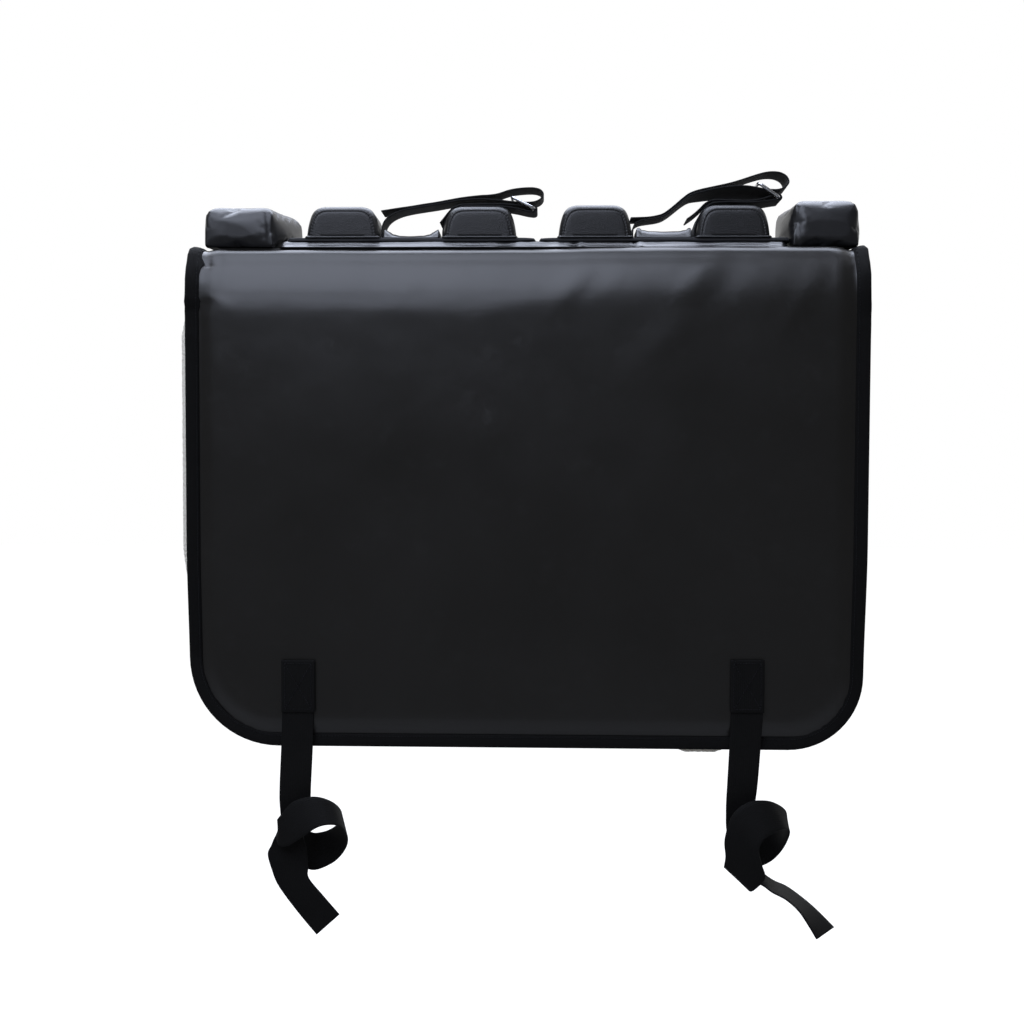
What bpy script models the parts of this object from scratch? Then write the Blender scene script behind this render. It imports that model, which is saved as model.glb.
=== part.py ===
"""Padded cover draped over a vehicle's tailgate, with two cradles for bicycle frames.

It is modelled as it hangs: the long front panel faces -Y, the deck lies on the
tailgate's top edge, and a short flap hangs down behind.
The origin is on the underside of the deck, midway between the two panels.
Sewn layers are cut as flat patterns (x, s, h), where s runs over the tailgate
and h is the height above the lining's inner face, and are then draped.
"""

import math

import bmesh
import bpy
from mathutils import Vector

MM = 0.001
GAP = 0.3 * MM

# Tailgate and fold line
GATE_HALF_THICKNESS = 50 * MM
FRONT_FOLD = (20 * MM, 42 * MM)
BACK_FOLD = (10 * MM, 18 * MM)
FOLD_STEPS = 8

# Panel
HALF_WIDTH = 396.5 * MM
FRONT_DROP = 574.5 * MM
BACK_DROP = 300 * MM
CORNER_RADII = (104 * MM, 86 * MM, 60 * MM, 60 * MM)
CORNER_STEPS = 6

# Layers
LINING_THICKNESS = 4 * MM
FOAM_THICKNESS = 12 * MM
SKIN_THICKNESS = 1.2 * MM
TAPE_THICKNESS = 1.2 * MM
TAPE_LEG = 13.5 * MM
HEM_WIDTH = 14 * MM
RAMP_WIDTH = 16 * MM
LINING_SET_BACK = 1 * MM
LINING_PEEK = 4.6 * MM

# Deck strip and base plates
PLINTH_REACH = (-31.7 * MM, 42 * MM)
PLINTH_HEIGHT = 7.4 * MM
PLINTH_TUCKS = (5 * MM, 4.5 * MM)
PLINTH_SKIN = 1 * MM
BASE_WIDTH = 298 * MM
BASE_THICKNESS = 4 * MM
BASE_REACH = (-32 * MM, 44 * MM)
BASE_GAP = 4 * MM

# Cradles
CRADLES_MIDDLE = 13 * MM
BLOCK_SPACING = 164 * MM
BLOCK_Y = 6 * MM
BLOCK_SKIN = 1.2 * MM
BLOCK_PROFILE = (
    (0.0, 44.0, 33.0, 5.0),
    (5.7, 43.4, 33.0, 5.0),
    (15.7, 41.2, 32.9, 6.0),
    (25.2, 37.2, 32.7, 7.0),
    (30.7, 33.0, 32.4, 8.0),
    (34.2, 28.5, 31.5, 9.0),
    (36.1, 22.5, 29.5, 10.0),
    (36.5, 17.5, 26.5, 10.0),
)
SADDLE_HALF_LENGTH = 34.2 * MM
SADDLE_HALF_DEPTH = 31 * MM

# Bolsters: each fills the deck between a base plate and the panel's edge
BOLSTER_CLEARANCES = (16.5 * MM, 2 * MM)
BOLSTER_SET_BACKS = (12.5 * MM, 5.5 * MM)
BOLSTER_TOPS = (64.1 * MM, 71.1 * MM)
BOLSTER_SKEW = 16 * MM
BOLSTER_CROWN = 16 * MM
BOLSTER_REACH = (-33 * MM, 55 * MM)
BOLSTER_SKIN = 1.2 * MM

# Straps
WEBBING_WIDTH = 38 * MM
WEBBING_THICKNESS = 1.8 * MM
CRADLE_STRAP_THICKNESS = 1.6 * MM
RING_WIRE_RADIUS = 2 * MM
PATCH_THICKNESS = 1.4 * MM
BOTTOM_STRAP_X = (-267.3 * MM, 261.4 * MM)
PATCH_TOPS = (-471.9 * MM, -468.1 * MM)
PATCH_SIZE = (39.6 * MM, 62.2 * MM)

# Ladder-lock buckles
BUCKLE_THICKNESS = 4 * MM
BUCKLE_COLUMNS = (-25.0, -20.0, 20.0, 25.0)
BUCKLE_ROWS = (-313.8, -318.2, -326.2, -331.2, -339.2, -344.0, -352.0)
BUCKLE_WINDOWS = (1, 3)
BUCKLE_LIP = 5 * MM

# Places that follow from the base plates and the panel's edge
BAY_REACH = (BASE_WIDTH + BASE_GAP) / 2
BAY_CENTRES = (CRADLES_MIDDLE - BAY_REACH, CRADLES_MIDDLE + BAY_REACH)
CRADLES_END = BAY_REACH + BASE_WIDTH / 2
LEFT_BOLSTER_END = CRADLES_MIDDLE - CRADLES_END - BOLSTER_CLEARANCES[0]
RIGHT_BOLSTER_END = CRADLES_MIDDLE + CRADLES_END + BOLSTER_CLEARANCES[1]
BOLSTERS = (
    ("left", BOLSTER_SET_BACKS[0] - HALF_WIDTH, LEFT_BOLSTER_END, BOLSTER_TOPS[0], BOLSTER_SKEW),
    ("right", RIGHT_BOLSTER_END, HALF_WIDTH - BOLSTER_SET_BACKS[1], BOLSTER_TOPS[1], 0.0),
)
PLINTH_ENDS = (LEFT_BOLSTER_END + PLINTH_TUCKS[0], RIGHT_BOLSTER_END - PLINTH_TUCKS[1])

# Levels that follow from the layers
LINING_TOP = LINING_THICKNESS
FOAM_BOTTOM = LINING_TOP + GAP
FOAM_TOP = FOAM_BOTTOM + FOAM_THICKNESS
SKIN_BOTTOM = FOAM_TOP + GAP
PAD_THICKNESS = SKIN_BOTTOM + SKIN_THICKNESS
HEM_BOTTOM = LINING_TOP + GAP + TAPE_THICKNESS + GAP
HEM_TOP = HEM_BOTTOM + SKIN_THICKNESS
TAPE_TOP = HEM_TOP + GAP + TAPE_THICKNESS
DECK_TOP = PAD_THICKNESS
PLINTH_TOP = DECK_TOP + GAP + PLINTH_HEIGHT
BASE_BOTTOM = PLINTH_TOP + GAP
BASE_TOP = BASE_BOTTOM + BASE_THICKNESS
SEAT = BASE_TOP + GAP
FRONT_FACE = -GATE_HALF_THICKNESS - PAD_THICKNESS

COLOURS = {
    "tarpaulin": (0.030, 0.031, 0.035),
    "foam": (0.45, 0.45, 0.43),
    "fleece": (0.72, 0.68, 0.60),
    "tape": (0.010, 0.010, 0.012),
    "base_board": (0.012, 0.012, 0.014),
    "grained_vinyl": (0.024, 0.024, 0.028),
    "hook_and_loop": (0.008, 0.008, 0.009),
    "webbing": (0.011, 0.011, 0.012),
    "steel": (0.62, 0.63, 0.65),
    "buckle_plastic": (0.014, 0.014, 0.015),
}


# Scene


def clear_scene():
    for thing in list(bpy.data.objects):
        bpy.data.objects.remove(thing, do_unlink=True)


def add_object(name, bm, slot):
    """Turn a bmesh into a named sub-part with its own material."""
    bmesh.ops.remove_doubles(bm, verts=bm.verts, dist=1e-6)
    bmesh.ops.recalc_face_normals(bm, faces=bm.faces)
    mesh = bpy.data.meshes.new(name)
    bm.to_mesh(mesh)
    bm.free()
    thing = bpy.data.objects.new(name, mesh)
    PARTS.objects.link(thing)
    material = bpy.data.materials.new(slot + "_" + name)
    material.use_nodes = True
    shader = material.node_tree.nodes["Principled BSDF"]
    shader.inputs["Base Color"].default_value = (*COLOURS[slot], 1.0)
    shader.inputs["Roughness"].default_value = 0.3 if slot == "steel" else 0.75
    shader.inputs["Metallic"].default_value = 1.0 if slot == "steel" else 0.0
    mesh.materials.append(material)
    return thing


# Shapes


def rounded(low, high, radii, steps):
    """Rectangle with rounded corners, anticlockwise from its low corner."""
    corners = (
        (low[0], low[1], 1, 1, 180),
        (high[0], low[1], -1, 1, 270),
        (high[0], high[1], -1, -1, 0),
        (low[0], high[1], 1, -1, 90),
    )
    points = []
    for (x, y, in_x, in_y, start), radius in zip(corners, radii):
        for step in range(steps + 1):
            angle = math.radians(start + 90 * step / steps)
            across = x + in_x * radius + radius * math.cos(angle)
            along = y + in_y * radius + radius * math.sin(angle)
            points.append((across, along))
    return points


def at_height(points, z):
    return [(x, y, z) for x, y in points]


def loft(rings, closed=False):
    """Skin a row of rings that have the same number of points."""
    bm = bmesh.new()
    rows = [[bm.verts.new(point) for point in ring] for ring in rings]
    count = len(rows[0])
    pairs = list(zip(rows, rows[1:]))
    if closed:
        pairs.append((rows[-1], rows[0]))
    else:
        bm.faces.new(rows[0])
        bm.faces.new(rows[-1])
    for first, second in pairs:
        for i in range(count):
            j = (i + 1) % count
            bm.faces.new((first[i], first[j], second[j], second[i]))
    bmesh.ops.recalc_face_normals(bm, faces=bm.faces)
    return bm


def smooth_path(points, steps):
    """Points of a curve that passes through each given point."""
    path = []
    last = len(points) - 1
    for i in range(last):
        before = points[max(i - 1, 0)]
        here = points[i]
        there = points[i + 1]
        after = points[min(i + 2, last)]
        for step in range(steps):
            t = step / steps
            bend = (there - before) * 0.5
            leave = (after - here) * 0.5
            turn = (here - there) * 2 + bend + leave
            swing = (there - here) * 3 - bend * 2 - leave
            path.append(turn * t ** 3 + swing * t ** 2 + bend * t + here)
    path.append(points[last])
    return path


def ribbon(one_edge, other_edge, thickness):
    """Flat strap whose two long edges are given."""
    rings = []
    last = len(one_edge) - 1
    middles = [(a + b) / 2 for a, b in zip(one_edge, other_edge)]
    for i in range(last + 1):
        along = middles[min(i + 1, last)] - middles[max(i - 1, 0)]
        across = other_edge[i] - one_edge[i]
        lift = along.cross(across).normalized() * (thickness / 2)
        a = one_edge[i]
        b = other_edge[i]
        rings.append([a + lift, b + lift, b - lift, a - lift])
    return loft(rings)


def side_on_strap(path_mm, centre, steps, thickness):
    """Cradle strap drawn in x and z, as wide as the webbing along y."""
    path = smooth_path([Vector((centre + x * MM, 0, z * MM)) for x, z in path_mm], steps)
    half = Vector((0, WEBBING_WIDTH / 2, 0))
    middle = Vector((0, BLOCK_Y, 0))
    front = [point + middle - half for point in path]
    back = [point + middle + half for point in path]
    return ribbon(front, back, thickness)


# Drape over the tailgate


def fold_stations():
    """Where the pattern folds: s, the point (y, z) and the normal (y, z)."""
    points = []
    for side, (half_y, half_z) in ((-1, FRONT_FOLD), (1, BACK_FOLD)):
        start = side * (GATE_HALF_THICKNESS - half_y)
        row = []
        for step in range(FOLD_STEPS + 1):
            angle = math.pi / 2 * step / FOLD_STEPS
            turn = math.atan2(half_y * math.sin(angle), half_z * math.cos(angle))
            y = start + side * half_y * math.sin(turn)
            z = -half_z * (1 - math.cos(turn))
            row.append(((y, z), (side * math.sin(angle), math.cos(angle))))
        points.append(row)
    front, back = points
    stations = []
    s = front[0][0][0]
    for i, (point, normal) in enumerate(front):
        if i:
            s -= math.dist(point, front[i - 1][0])
        stations.append((s, point, normal))
    stations.reverse()
    s = back[0][0][0]
    for i, (point, normal) in enumerate(back):
        if i:
            s += math.dist(point, back[i - 1][0])
        stations.append((s, point, normal))
    return stations


STATIONS = fold_stations()
FRONT_END = STATIONS[0][0] - (FRONT_DROP + STATIONS[0][1][1])
BACK_END = STATIONS[-1][0] + (BACK_DROP + STATIONS[-1][1][1])


def drape(x, s, h):
    """Place a point of the flat pattern on the hung cover."""
    if s <= STATIONS[0][0]:
        first, second = STATIONS[0], None
        below = STATIONS[0][0] - s
    elif s >= STATIONS[-1][0]:
        first, second = STATIONS[-1], None
        below = s - STATIONS[-1][0]
    else:
        below = 0
        for first, second in zip(STATIONS, STATIONS[1:]):
            if s <= second[0]:
                break
    if second is None:
        (y, z), (normal_y, normal_z) = first[1], first[2]
    else:
        t = (s - first[0]) / (second[0] - first[0])
        y = first[1][0] + t * (second[1][0] - first[1][0])
        z = first[1][1] + t * (second[1][1] - first[1][1])
        normal_y = first[2][0] + t * (second[2][0] - first[2][0])
        normal_z = first[2][1] + t * (second[2][1] - first[2][1])
    return (x, y + normal_y * h, z - below + normal_z * h)


def drape_mesh(bm):
    """Crease a flat pattern at every fold station and hang it."""
    for s, _, _ in STATIONS:
        geometry = bm.verts[:] + bm.edges[:] + bm.faces[:]
        bmesh.ops.bisect_plane(bm, geom=geometry, dist=1e-6, plane_co=(0, s, 0), plane_no=(0, 1, 0))
    for vert in bm.verts:
        vert.co = drape(*vert.co)
    return bm


def pattern_edge(inset):
    """Edge of the cover's flat pattern, moved inwards."""
    low = (-HALF_WIDTH + inset, FRONT_END + inset)
    high = (HALF_WIDTH - inset, BACK_END - inset)
    return rounded(low, high, [radius - inset for radius in CORNER_RADII], CORNER_STEPS)


def front_s(z):
    """Pattern position of a height on the front panel."""
    return STATIONS[0][0] - (STATIONS[0][1][1] - z)


def deck_height(y):
    """Height of the cover's outer face over a point of the deck."""
    outline = [drape(0, s, PAD_THICKNESS)[1:] for s, _, _ in STATIONS]
    for (y0, z0), (y1, z1) in zip(outline, outline[1:]):
        if y0 <= y <= y1:
            return z0 + (z1 - z0) * (y - y0) / (y1 - y0)
    return outline[0][1]


# Cover, foam board, lining and edge tape


def make_cover():
    profile = (
        (HEM_WIDTH + RAMP_WIDTH, SKIN_BOTTOM),
        (HEM_WIDTH, HEM_BOTTOM),
        (0, HEM_BOTTOM),
        (0, HEM_TOP),
        (HEM_WIDTH, HEM_TOP),
        (HEM_WIDTH + RAMP_WIDTH, PAD_THICKNESS),
    )
    bm = loft([at_height(pattern_edge(inset), h) for inset, h in profile])
    return add_object("outer_cover", drape_mesh(bm), "tarpaulin")


def make_foam_board():
    slope = (SKIN_BOTTOM - HEM_BOTTOM) / RAMP_WIDTH
    drop = GAP * math.sqrt(1 + slope ** 2) + GAP / 5
    edge = HEM_WIDTH + 2 * MM
    shoulder = HEM_BOTTOM - drop + (edge - HEM_WIDTH) * slope
    inner = HEM_WIDTH + (FOAM_TOP - HEM_BOTTOM + drop) / slope
    profile = ((edge, FOAM_BOTTOM), (edge, shoulder), (inner, FOAM_TOP))
    bm = loft([at_height(pattern_edge(inset), h) for inset, h in profile])
    return add_object("foam_board", drape_mesh(bm), "foam")


def lining_edge():
    """Lining outline, with the two places where it shows past the tape."""
    points = pattern_edge(LINING_SET_BACK)
    corner = CORNER_STEPS + 1
    bottom = FRONT_END + LINING_SET_BACK
    shown_bottom = FRONT_END - LINING_PEEK + 1 * MM
    hem = [(175, bottom), (190, shown_bottom), (225, shown_bottom), (242, bottom)]
    left = -HALF_WIDTH + LINING_SET_BACK
    shown_left = -HALF_WIDTH - LINING_PEEK
    side = [(left, -60), (shown_left, -85), (shown_left, -340), (left, -400)]
    hem_points = [(x * MM, s) for x, s in hem]
    side_points = [(x, front_s(z * MM)) for x, z in side]
    return points[:corner] + hem_points + points[corner:] + side_points


def make_lining():
    edge = lining_edge()
    bm = loft([at_height(edge, 0), at_height(edge, LINING_TOP)])
    return add_object("fleece_lining", drape_mesh(bm), "fleece")


def make_edge_tape():
    wall = TAPE_THICKNESS
    outer = -GAP - wall
    soft = 1.7 * MM
    bottom = LINING_TOP + GAP
    profile = (
        (TAPE_LEG, TAPE_TOP),
        (outer + soft, TAPE_TOP),
        (outer, TAPE_TOP - soft * 0.75),
        (outer, bottom + soft * 0.75),
        (outer + soft, bottom),
        (TAPE_LEG, bottom),
        (TAPE_LEG, bottom + wall),
        (-GAP, bottom + wall),
        (-GAP, TAPE_TOP - wall),
        (TAPE_LEG, TAPE_TOP - wall),
    )
    rings = [at_height(pattern_edge(inset), h) for inset, h in profile]
    return add_object("edge_tape", drape_mesh(loft(rings, closed=True)), "tape")


# Deck strip, base plates, blocks and saddles


def plinth_ring(inset, h):
    """Outline of the deck strip; its left end follows the skewed bolster."""
    low = (PLINTH_ENDS[0] + inset, PLINTH_REACH[0] + inset)
    high = (PLINTH_ENDS[1] - inset, PLINTH_REACH[1] - inset)
    radius = 9 * MM - inset
    span = PLINTH_REACH[1] - PLINTH_REACH[0]
    ring = []
    for x, s in rounded(low, high, [radius] * 4, 3):
        skew = BOLSTER_SKEW * (s - PLINTH_REACH[0]) / span if x < 0 else 0
        ring.append((x + skew, s, h))
    return ring


def make_plinth():
    bottom = DECK_TOP + GAP
    height = PLINTH_HEIGHT
    outer = ((0, 0), (0, 0.4), (2.0, 0.86), (5.0, 1.0))
    skin = PLINTH_SKIN
    low_height = height - skin
    inside = [plinth_ring(i * MM + skin, bottom + low_height * f) for i, f in reversed(outer)]
    outside = [plinth_ring(i * MM, bottom + height * f) for i, f in outer]
    add_object("plinth_cover", drape_mesh(loft(inside + outside)), "tarpaulin")
    slack = skin + GAP + 0.05 * MM
    foam = [plinth_ring(i * MM + slack, bottom + (height - slack) * f) for i, f in outer]
    add_object("plinth_foam", drape_mesh(loft(foam)), "foam")


def make_base(side, centre):
    edge = 0.8 * MM
    levels = (
        (edge, BASE_BOTTOM),
        (0, BASE_BOTTOM + edge),
        (0, BASE_TOP - edge),
        (edge, BASE_TOP),
    )
    rings = []
    for inset, z in levels:
        low = (centre - BASE_WIDTH / 2 + inset, BASE_REACH[0] + inset)
        high = (centre + BASE_WIDTH / 2 - inset, BASE_REACH[1] - inset)
        rings.append(at_height(rounded(low, high, [6 * MM - inset] * 4, 3), z))
    return add_object("cradle_base_" + side, loft(rings), "base_board")


def block_rings(centre, inset):
    """Rings of a block, from its foot to its top, shrunk by the inset."""
    height = BLOCK_PROFILE[-1][0] * MM
    rings = []
    for level, half_x, half_y, radius in BLOCK_PROFILE:
        size_x = half_x * MM - inset
        size_y = half_y * MM - inset
        z = SEAT + level * MM * (height - inset) / height
        low = (centre - size_x, BLOCK_Y - size_y)
        high = (centre + size_x, BLOCK_Y + size_y)
        rings.append(at_height(rounded(low, high, [radius * MM - inset] * 4, 2), z))
    return rings


def make_block(name, centre):
    inside = block_rings(centre, BLOCK_SKIN)
    inside.reverse()
    outside = block_rings(centre, 0)
    add_object("block_cover_" + name, loft(inside + outside), "grained_vinyl")
    foam = loft(block_rings(centre, BLOCK_SKIN + GAP + 0.1 * MM))
    add_object("block_foam_" + name, foam, "foam")


def make_saddle(side, centre):
    """Low pad between two blocks, with ends that turn up against them."""
    profile = ((1.0, 8.0), (0.97, 11.2), (0.87, 12.0), (0.72, 9.4), (0.5, 8.1), (0.0, 7.7))
    stations = [(-reach, top) for reach, top in profile]
    stations += [(reach, top) for reach, top in reversed(profile[:-1])]
    rings = []
    for reach, top in stations:
        x = centre + reach * SADDLE_HALF_LENGTH
        half = SADDLE_HALF_DEPTH - (1.5 * MM if abs(reach) == 1.0 else 0)
        top_z = SEAT + top * MM
        soft = 2 * MM
        section = (
            (-half, SEAT),
            (half, SEAT),
            (half, top_z - soft),
            (half - soft, top_z),
            (soft - half, top_z),
            (-half, top_z - soft),
        )
        rings.append([(x, BLOCK_Y + y, z) for y, z in section])
    return add_object("saddle_" + side, loft(rings), "tarpaulin")


# Bolsters


def bolster_rings(low_x, high_x, top, skew, inset):
    """Rings of a bolster; the lowest is at zero and is settled later."""
    levels = (
        (None, 0),
        (top - 20 * MM, 0),
        (top - 10 * MM, 0.1),
        (top - 4.5 * MM, 0.28),
        (top - 1.2 * MM, 0.6),
        (top, 1),
    )
    crown = min(BOLSTER_CROWN, 0.35 * (high_x - low_x))
    span = BOLSTER_REACH[1] - BOLSTER_REACH[0]
    rings = []
    for z, share_of_crown in levels:
        shrink = share_of_crown * crown
        level = 0 if z is None else z - inset
        edge = inset + shrink
        low = (low_x + edge, BOLSTER_REACH[0] + inset + shrink * 0.7)
        high = (high_x - edge, BOLSTER_REACH[1] - inset - shrink * 0.7)
        radius = min(9 * MM - inset + shrink * 0.3, 0.45 * (high[0] - low[0]))
        ring = []
        for x, y in rounded(low, high, [radius] * 4, 2):
            share = (x - low[0]) / (high[0] - low[0])
            shift = skew * share * (y - BOLSTER_REACH[0]) / span
            ring.append((x + shift, y, level))
        rings.append(ring)
    return rings


def settle(bm):
    """Let the foot of a bolster follow the deck."""
    for y in (-0.030, 0.0405, 0.0446, 0.0492):
        geometry = bm.verts[:] + bm.edges[:] + bm.faces[:]
        bmesh.ops.bisect_plane(bm, geom=geometry, dist=1e-6, plane_co=(0, y, 0), plane_no=(0, 1, 0))
    for vert in bm.verts:
        if vert.co.z < GAP:
            vert.co.z = deck_height(vert.co.y) + GAP
    return bm


def make_bolster(side, low_x, high_x, top, skew):
    inside = bolster_rings(low_x, high_x, top, skew, BOLSTER_SKIN)
    inside.reverse()
    outside = bolster_rings(low_x, high_x, top, skew, 0)
    add_object("bolster_cover_" + side, settle(loft(inside + outside)), "tarpaulin")
    foam = bolster_rings(low_x, high_x, top, skew, BOLSTER_SKIN + GAP + 0.1 * MM)
    add_object("bolster_foam_" + side, settle(loft(foam)), "foam")


# Cradle straps and rings, as x from the bay's centre and z, in millimetres

CRADLE_STRAP_LEFT = (
    (-36.6, 30.5), (-36.4, 44), (-33.2, 52.5), (-26, 59.2), (-15, 64.2), (-1.4, 67.4),
    (14, 69.9), (28.7, 72.1), (44.8, 75.0), (61, 77.6), (81.7, 78.6), (100, 77.6), (116, 75.6),
    (127, 74.6), (138, 74.2), (148, 75.2), (155, 78.8), (157.8, 84), (154.5, 89), (147, 91.3),
    (137, 91.4), (126, 90.4), (116, 88.5), (104, 84.6), (93, 82.9), (81.7, 82.3), (61, 80.0),
    (44.8, 77.2), (28.7, 74.3), (14, 72.1), (-1.4, 69.6), (-15, 67.7), (-26, 66.0),
    (-37.7, 64.2),
)
RING_STRAP_LEFT = (
    (37, 30.5), (37, 40), (39.1, 47.5), (42.6, 56), (47.6, 62.4), (52.8, 66.3), (60, 68.5),
    (72, 68.7), (88, 68.7), (104, 68.7), (116, 68.4), (128, 66.6), (138, 64.4), (146, 63.35),
    (149.3, 64.3), (150.15, 66.5), (149.3, 68.7), (146, 69.65), (138, 69.9), (128, 70.3),
    (116, 70.9), (104, 71.0), (88, 71.0), (72, 71.0), (59, 70.9), (50, 68.0), (44, 62.6),
    (39, 56.4), (33.6, 49.7),
)
CRADLE_STRAP_RIGHT = (
    (-36.6, 30.5), (-36.5, 41), (-34.2, 48), (-28, 52.2), (-17.5, 54.2), (-8, 55.6),
    (0.5, 58.2), (9, 63.8), (17.6, 71.1), (26, 78.3), (34, 83.5), (45, 86.6), (57.4, 89.7),
    (68, 91.6), (82, 93.4), (96, 93.6), (106, 92.5), (115, 90.8), (125, 89.3), (136, 89.0),
    (144.5, 91.7), (149.2, 97.5), (146.5, 104.5), (139, 108.8), (130, 109.9), (121, 109.0),
    (113, 107.0), (104, 104.2), (93, 100.6), (80, 96.8), (67.4, 94.0), (56.9, 91.8), (44, 89.0),
    (32.6, 85.3), (24.4, 79.9), (16, 72.7), (7.4, 65.6), (-0.7, 60.2), (-9, 57.8),
    (-17.8, 56.4), (-28, 55.9), (-39.2, 55.6),
)
RING_STRAP_RIGHT = (
    (37, 30.5), (37, 40), (39.1, 47.5), (42.6, 56), (47.6, 62.4), (52.8, 66.3), (60, 68.5),
    (72, 68.7), (88, 68.7), (102, 69.2), (116, 71.4), (128, 74.1), (136, 75.9), (139.9, 76.9),
    (140.9, 79.5), (139.5, 82.0), (136, 82.5), (127, 79.5), (116, 75.2), (102, 72.0),
    (88, 71.0), (72, 71.0), (59, 70.9), (50, 68.0), (43.5, 63.0), (36, 57.6), (28.1, 52.8),
)
RING_BARS_LEFT = ((120.5, 80.0), (147.0, 66.5))
RING_BARS_RIGHT = ((113.0, 96.0), (137.5, 79.2))


def make_ring(side, centre, near, far):
    """Closed wire ring; its near and far bars run along y."""
    near_bar = Vector((centre + near[0] * MM, BLOCK_Y, near[1] * MM))
    slope = Vector((centre + far[0] * MM, BLOCK_Y, far[1] * MM)) - near_bar
    length = slope.length
    slope.normalize()
    across = Vector((0, 1, 0))
    upright = slope.cross(across)
    half = WEBBING_WIDTH / 2 + 0.6 * MM + RING_WIRE_RADIUS
    path = rounded((0, -half), (length, half), [4.5 * MM] * 4, 3)
    middle = Vector((length / 2, 0, 0))
    rings = []
    for i, (u, v) in enumerate(path):
        u0, v0 = path[i - 1]
        u1, v1 = path[(i + 1) % len(path)]
        outward = Vector((v1 - v0, u0 - u1, 0)).normalized()
        ring = []
        for step in range(8):
            angle = math.tau * step / 8
            flat = Vector((u, v, 0)) + outward * (RING_WIRE_RADIUS * math.cos(angle))
            rise = RING_WIRE_RADIUS * math.sin(angle)
            ring.append(near_bar + slope * flat.x + across * flat.y + upright * rise)
        rings.append(ring)
    return add_object("strap_ring_" + side, loft(rings, closed=True), "steel")


# Bottom straps: the two long edges, in millimetres

KNOT_LEFT = (
    ((-286, -69, -474), (-248.4, -69, -474)),
    ((-286.6, -69, -530), (-249, -69, -530)),
    ((-288, -69, -575), (-250.4, -69, -575)),
    ((-290, -69.5, -621), (-252.6, -69.5, -621)),
    ((-290, -69, -647), (-254, -67, -649)),
    ((-287, -62, -680), (-258, -57, -676)),
    ((-275, -53, -714), (-256, -48, -684)),
    ((-256, -49, -730), (-250, -40, -687)),
    ((-231, -50, -721), (-237, -38, -684)),
    ((-215, -58, -703), (-224, -48, -673)),
    ((-209, -72, -684), (-218, -62, -656)),
    ((-213, -88, -667), (-223, -78, -641)),
    ((-223, -96, -661), (-237, -85, -632)),
    ((-239, -99, -663), (-253, -86, -631)),
    ((-258, -98, -675), (-271, -87, -637)),
    ((-274, -95, -686), (-284, -88, -651)),
    ((-286, -91, -688), (-289, -86, -658)),
    ((-292, -85, -681), (-283, -80, -655)),
    ((-298, -82, -691), (-267, -76, -668)),
    ((-302, -82, -701), (-258, -76, -692)),
    ((-297, -82, -720), (-255, -77, -717)),
    ((-289, -82, -739), (-254, -78, -730)),
    ((-268, -80, -769), (-237, -78, -751)),
    ((-245, -78, -798), (-218, -76, -774)),
)
KNOT_RIGHT = (
    ((242.6, -69, -470.5), (280.2, -69, -470.5)),
    ((242.4, -69, -530), (280, -69, -530)),
    ((241, -69, -575), (277.6, -69, -575)),
    ((239, -69.5, -616), (274.6, -69.5, -616)),
    ((238, -69, -646), (272, -67, -642)),
    ((241, -62, -678), (271, -57, -673)),
    ((256, -53, -711), (275, -48, -683)),
    ((276, -49, -720), (289, -41, -684)),
    ((294, -51, -713), (303, -42, -677)),
    ((307, -60, -694), (311, -52, -666)),
    ((312, -73, -672), (308, -66, -647)),
    ((304, -87, -663), (292, -79, -634)),
    ((290, -95, -665), (277, -85, -630)),
    ((278, -99, -672), (261, -87, -632)),
    ((272, -100, -685), (243, -89, -646)),
    ((276, -99, -702), (234, -89, -674)),
    ((280, -97, -718), (235, -89, -695)),
    ((268, -92, -734), (234, -87, -707)),
    ((264, -84, -736), (237, -80, -709)),
    ((272, -78, -731), (254, -74, -705)),
    ((281, -80, -733), (279, -62, -721)),
    ((290, -90, -737), (297, -56, -734)),
    ((306, -92, -745), (313, -57, -741)),
    ((321, -90, -759), (335, -57, -757)),
    ((333, -87, -777), (352, -58, -772)),
    ((343, -84, -794), (369, -58, -789)),
)


def make_bottom_strap(side, stations):
    one_edge = smooth_path([Vector(a) * MM for a, _ in stations], 4)
    other_edge = smooth_path([Vector(b) * MM for _, b in stations], 4)
    strap = ribbon(one_edge, other_edge, WEBBING_THICKNESS)
    return add_object("bottom_strap_" + side, strap, "webbing")


def make_patch(side, x, top):
    """Webbing patch sewn over the top end of a bottom strap."""
    inner = -69 * MM - WEBBING_THICKNESS / 2 - GAP
    outer = inner - PATCH_THICKNESS
    half = PATCH_SIZE[0] / 2
    outline = rounded((x - half, top - PATCH_SIZE[1]), (x + half, top), [1.5 * MM] * 4, 2)
    rings = [[(a, y, b) for a, b in outline] for y in (inner, outer)]
    return add_object("strap_patch_" + side, loft(rings), "webbing")


# Buckles on the inner flap, as y and z in millimetres

TAB_PATH = (
    (69.0, -246), (69.0, -275), (69.0, -299), (67.4, -306.5), (65.9, -311.5), (65.8, -315.6),
    (67.4, -318.6), (70.0, -319.6), (72.6, -318.6), (74.2, -315.6), (74.1, -311.5),
    (72.6, -306.5), (71.0, -299), (71.0, -275), (71.0, -254),
)


def make_tab(side, x):
    path = smooth_path([Vector((0, y * MM, z * MM)) for y, z in TAB_PATH], 2)
    half = Vector((WEBBING_WIDTH / 2, 0, 0))
    middle = Vector((x, 0, 0))
    one_edge = [point + middle - half for point in path]
    other_edge = [point + middle + half for point in path]
    tab = ribbon(one_edge, other_edge, CRADLE_STRAP_THICKNESS)
    return add_object("buckle_tab_" + side, tab, "webbing")


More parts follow.
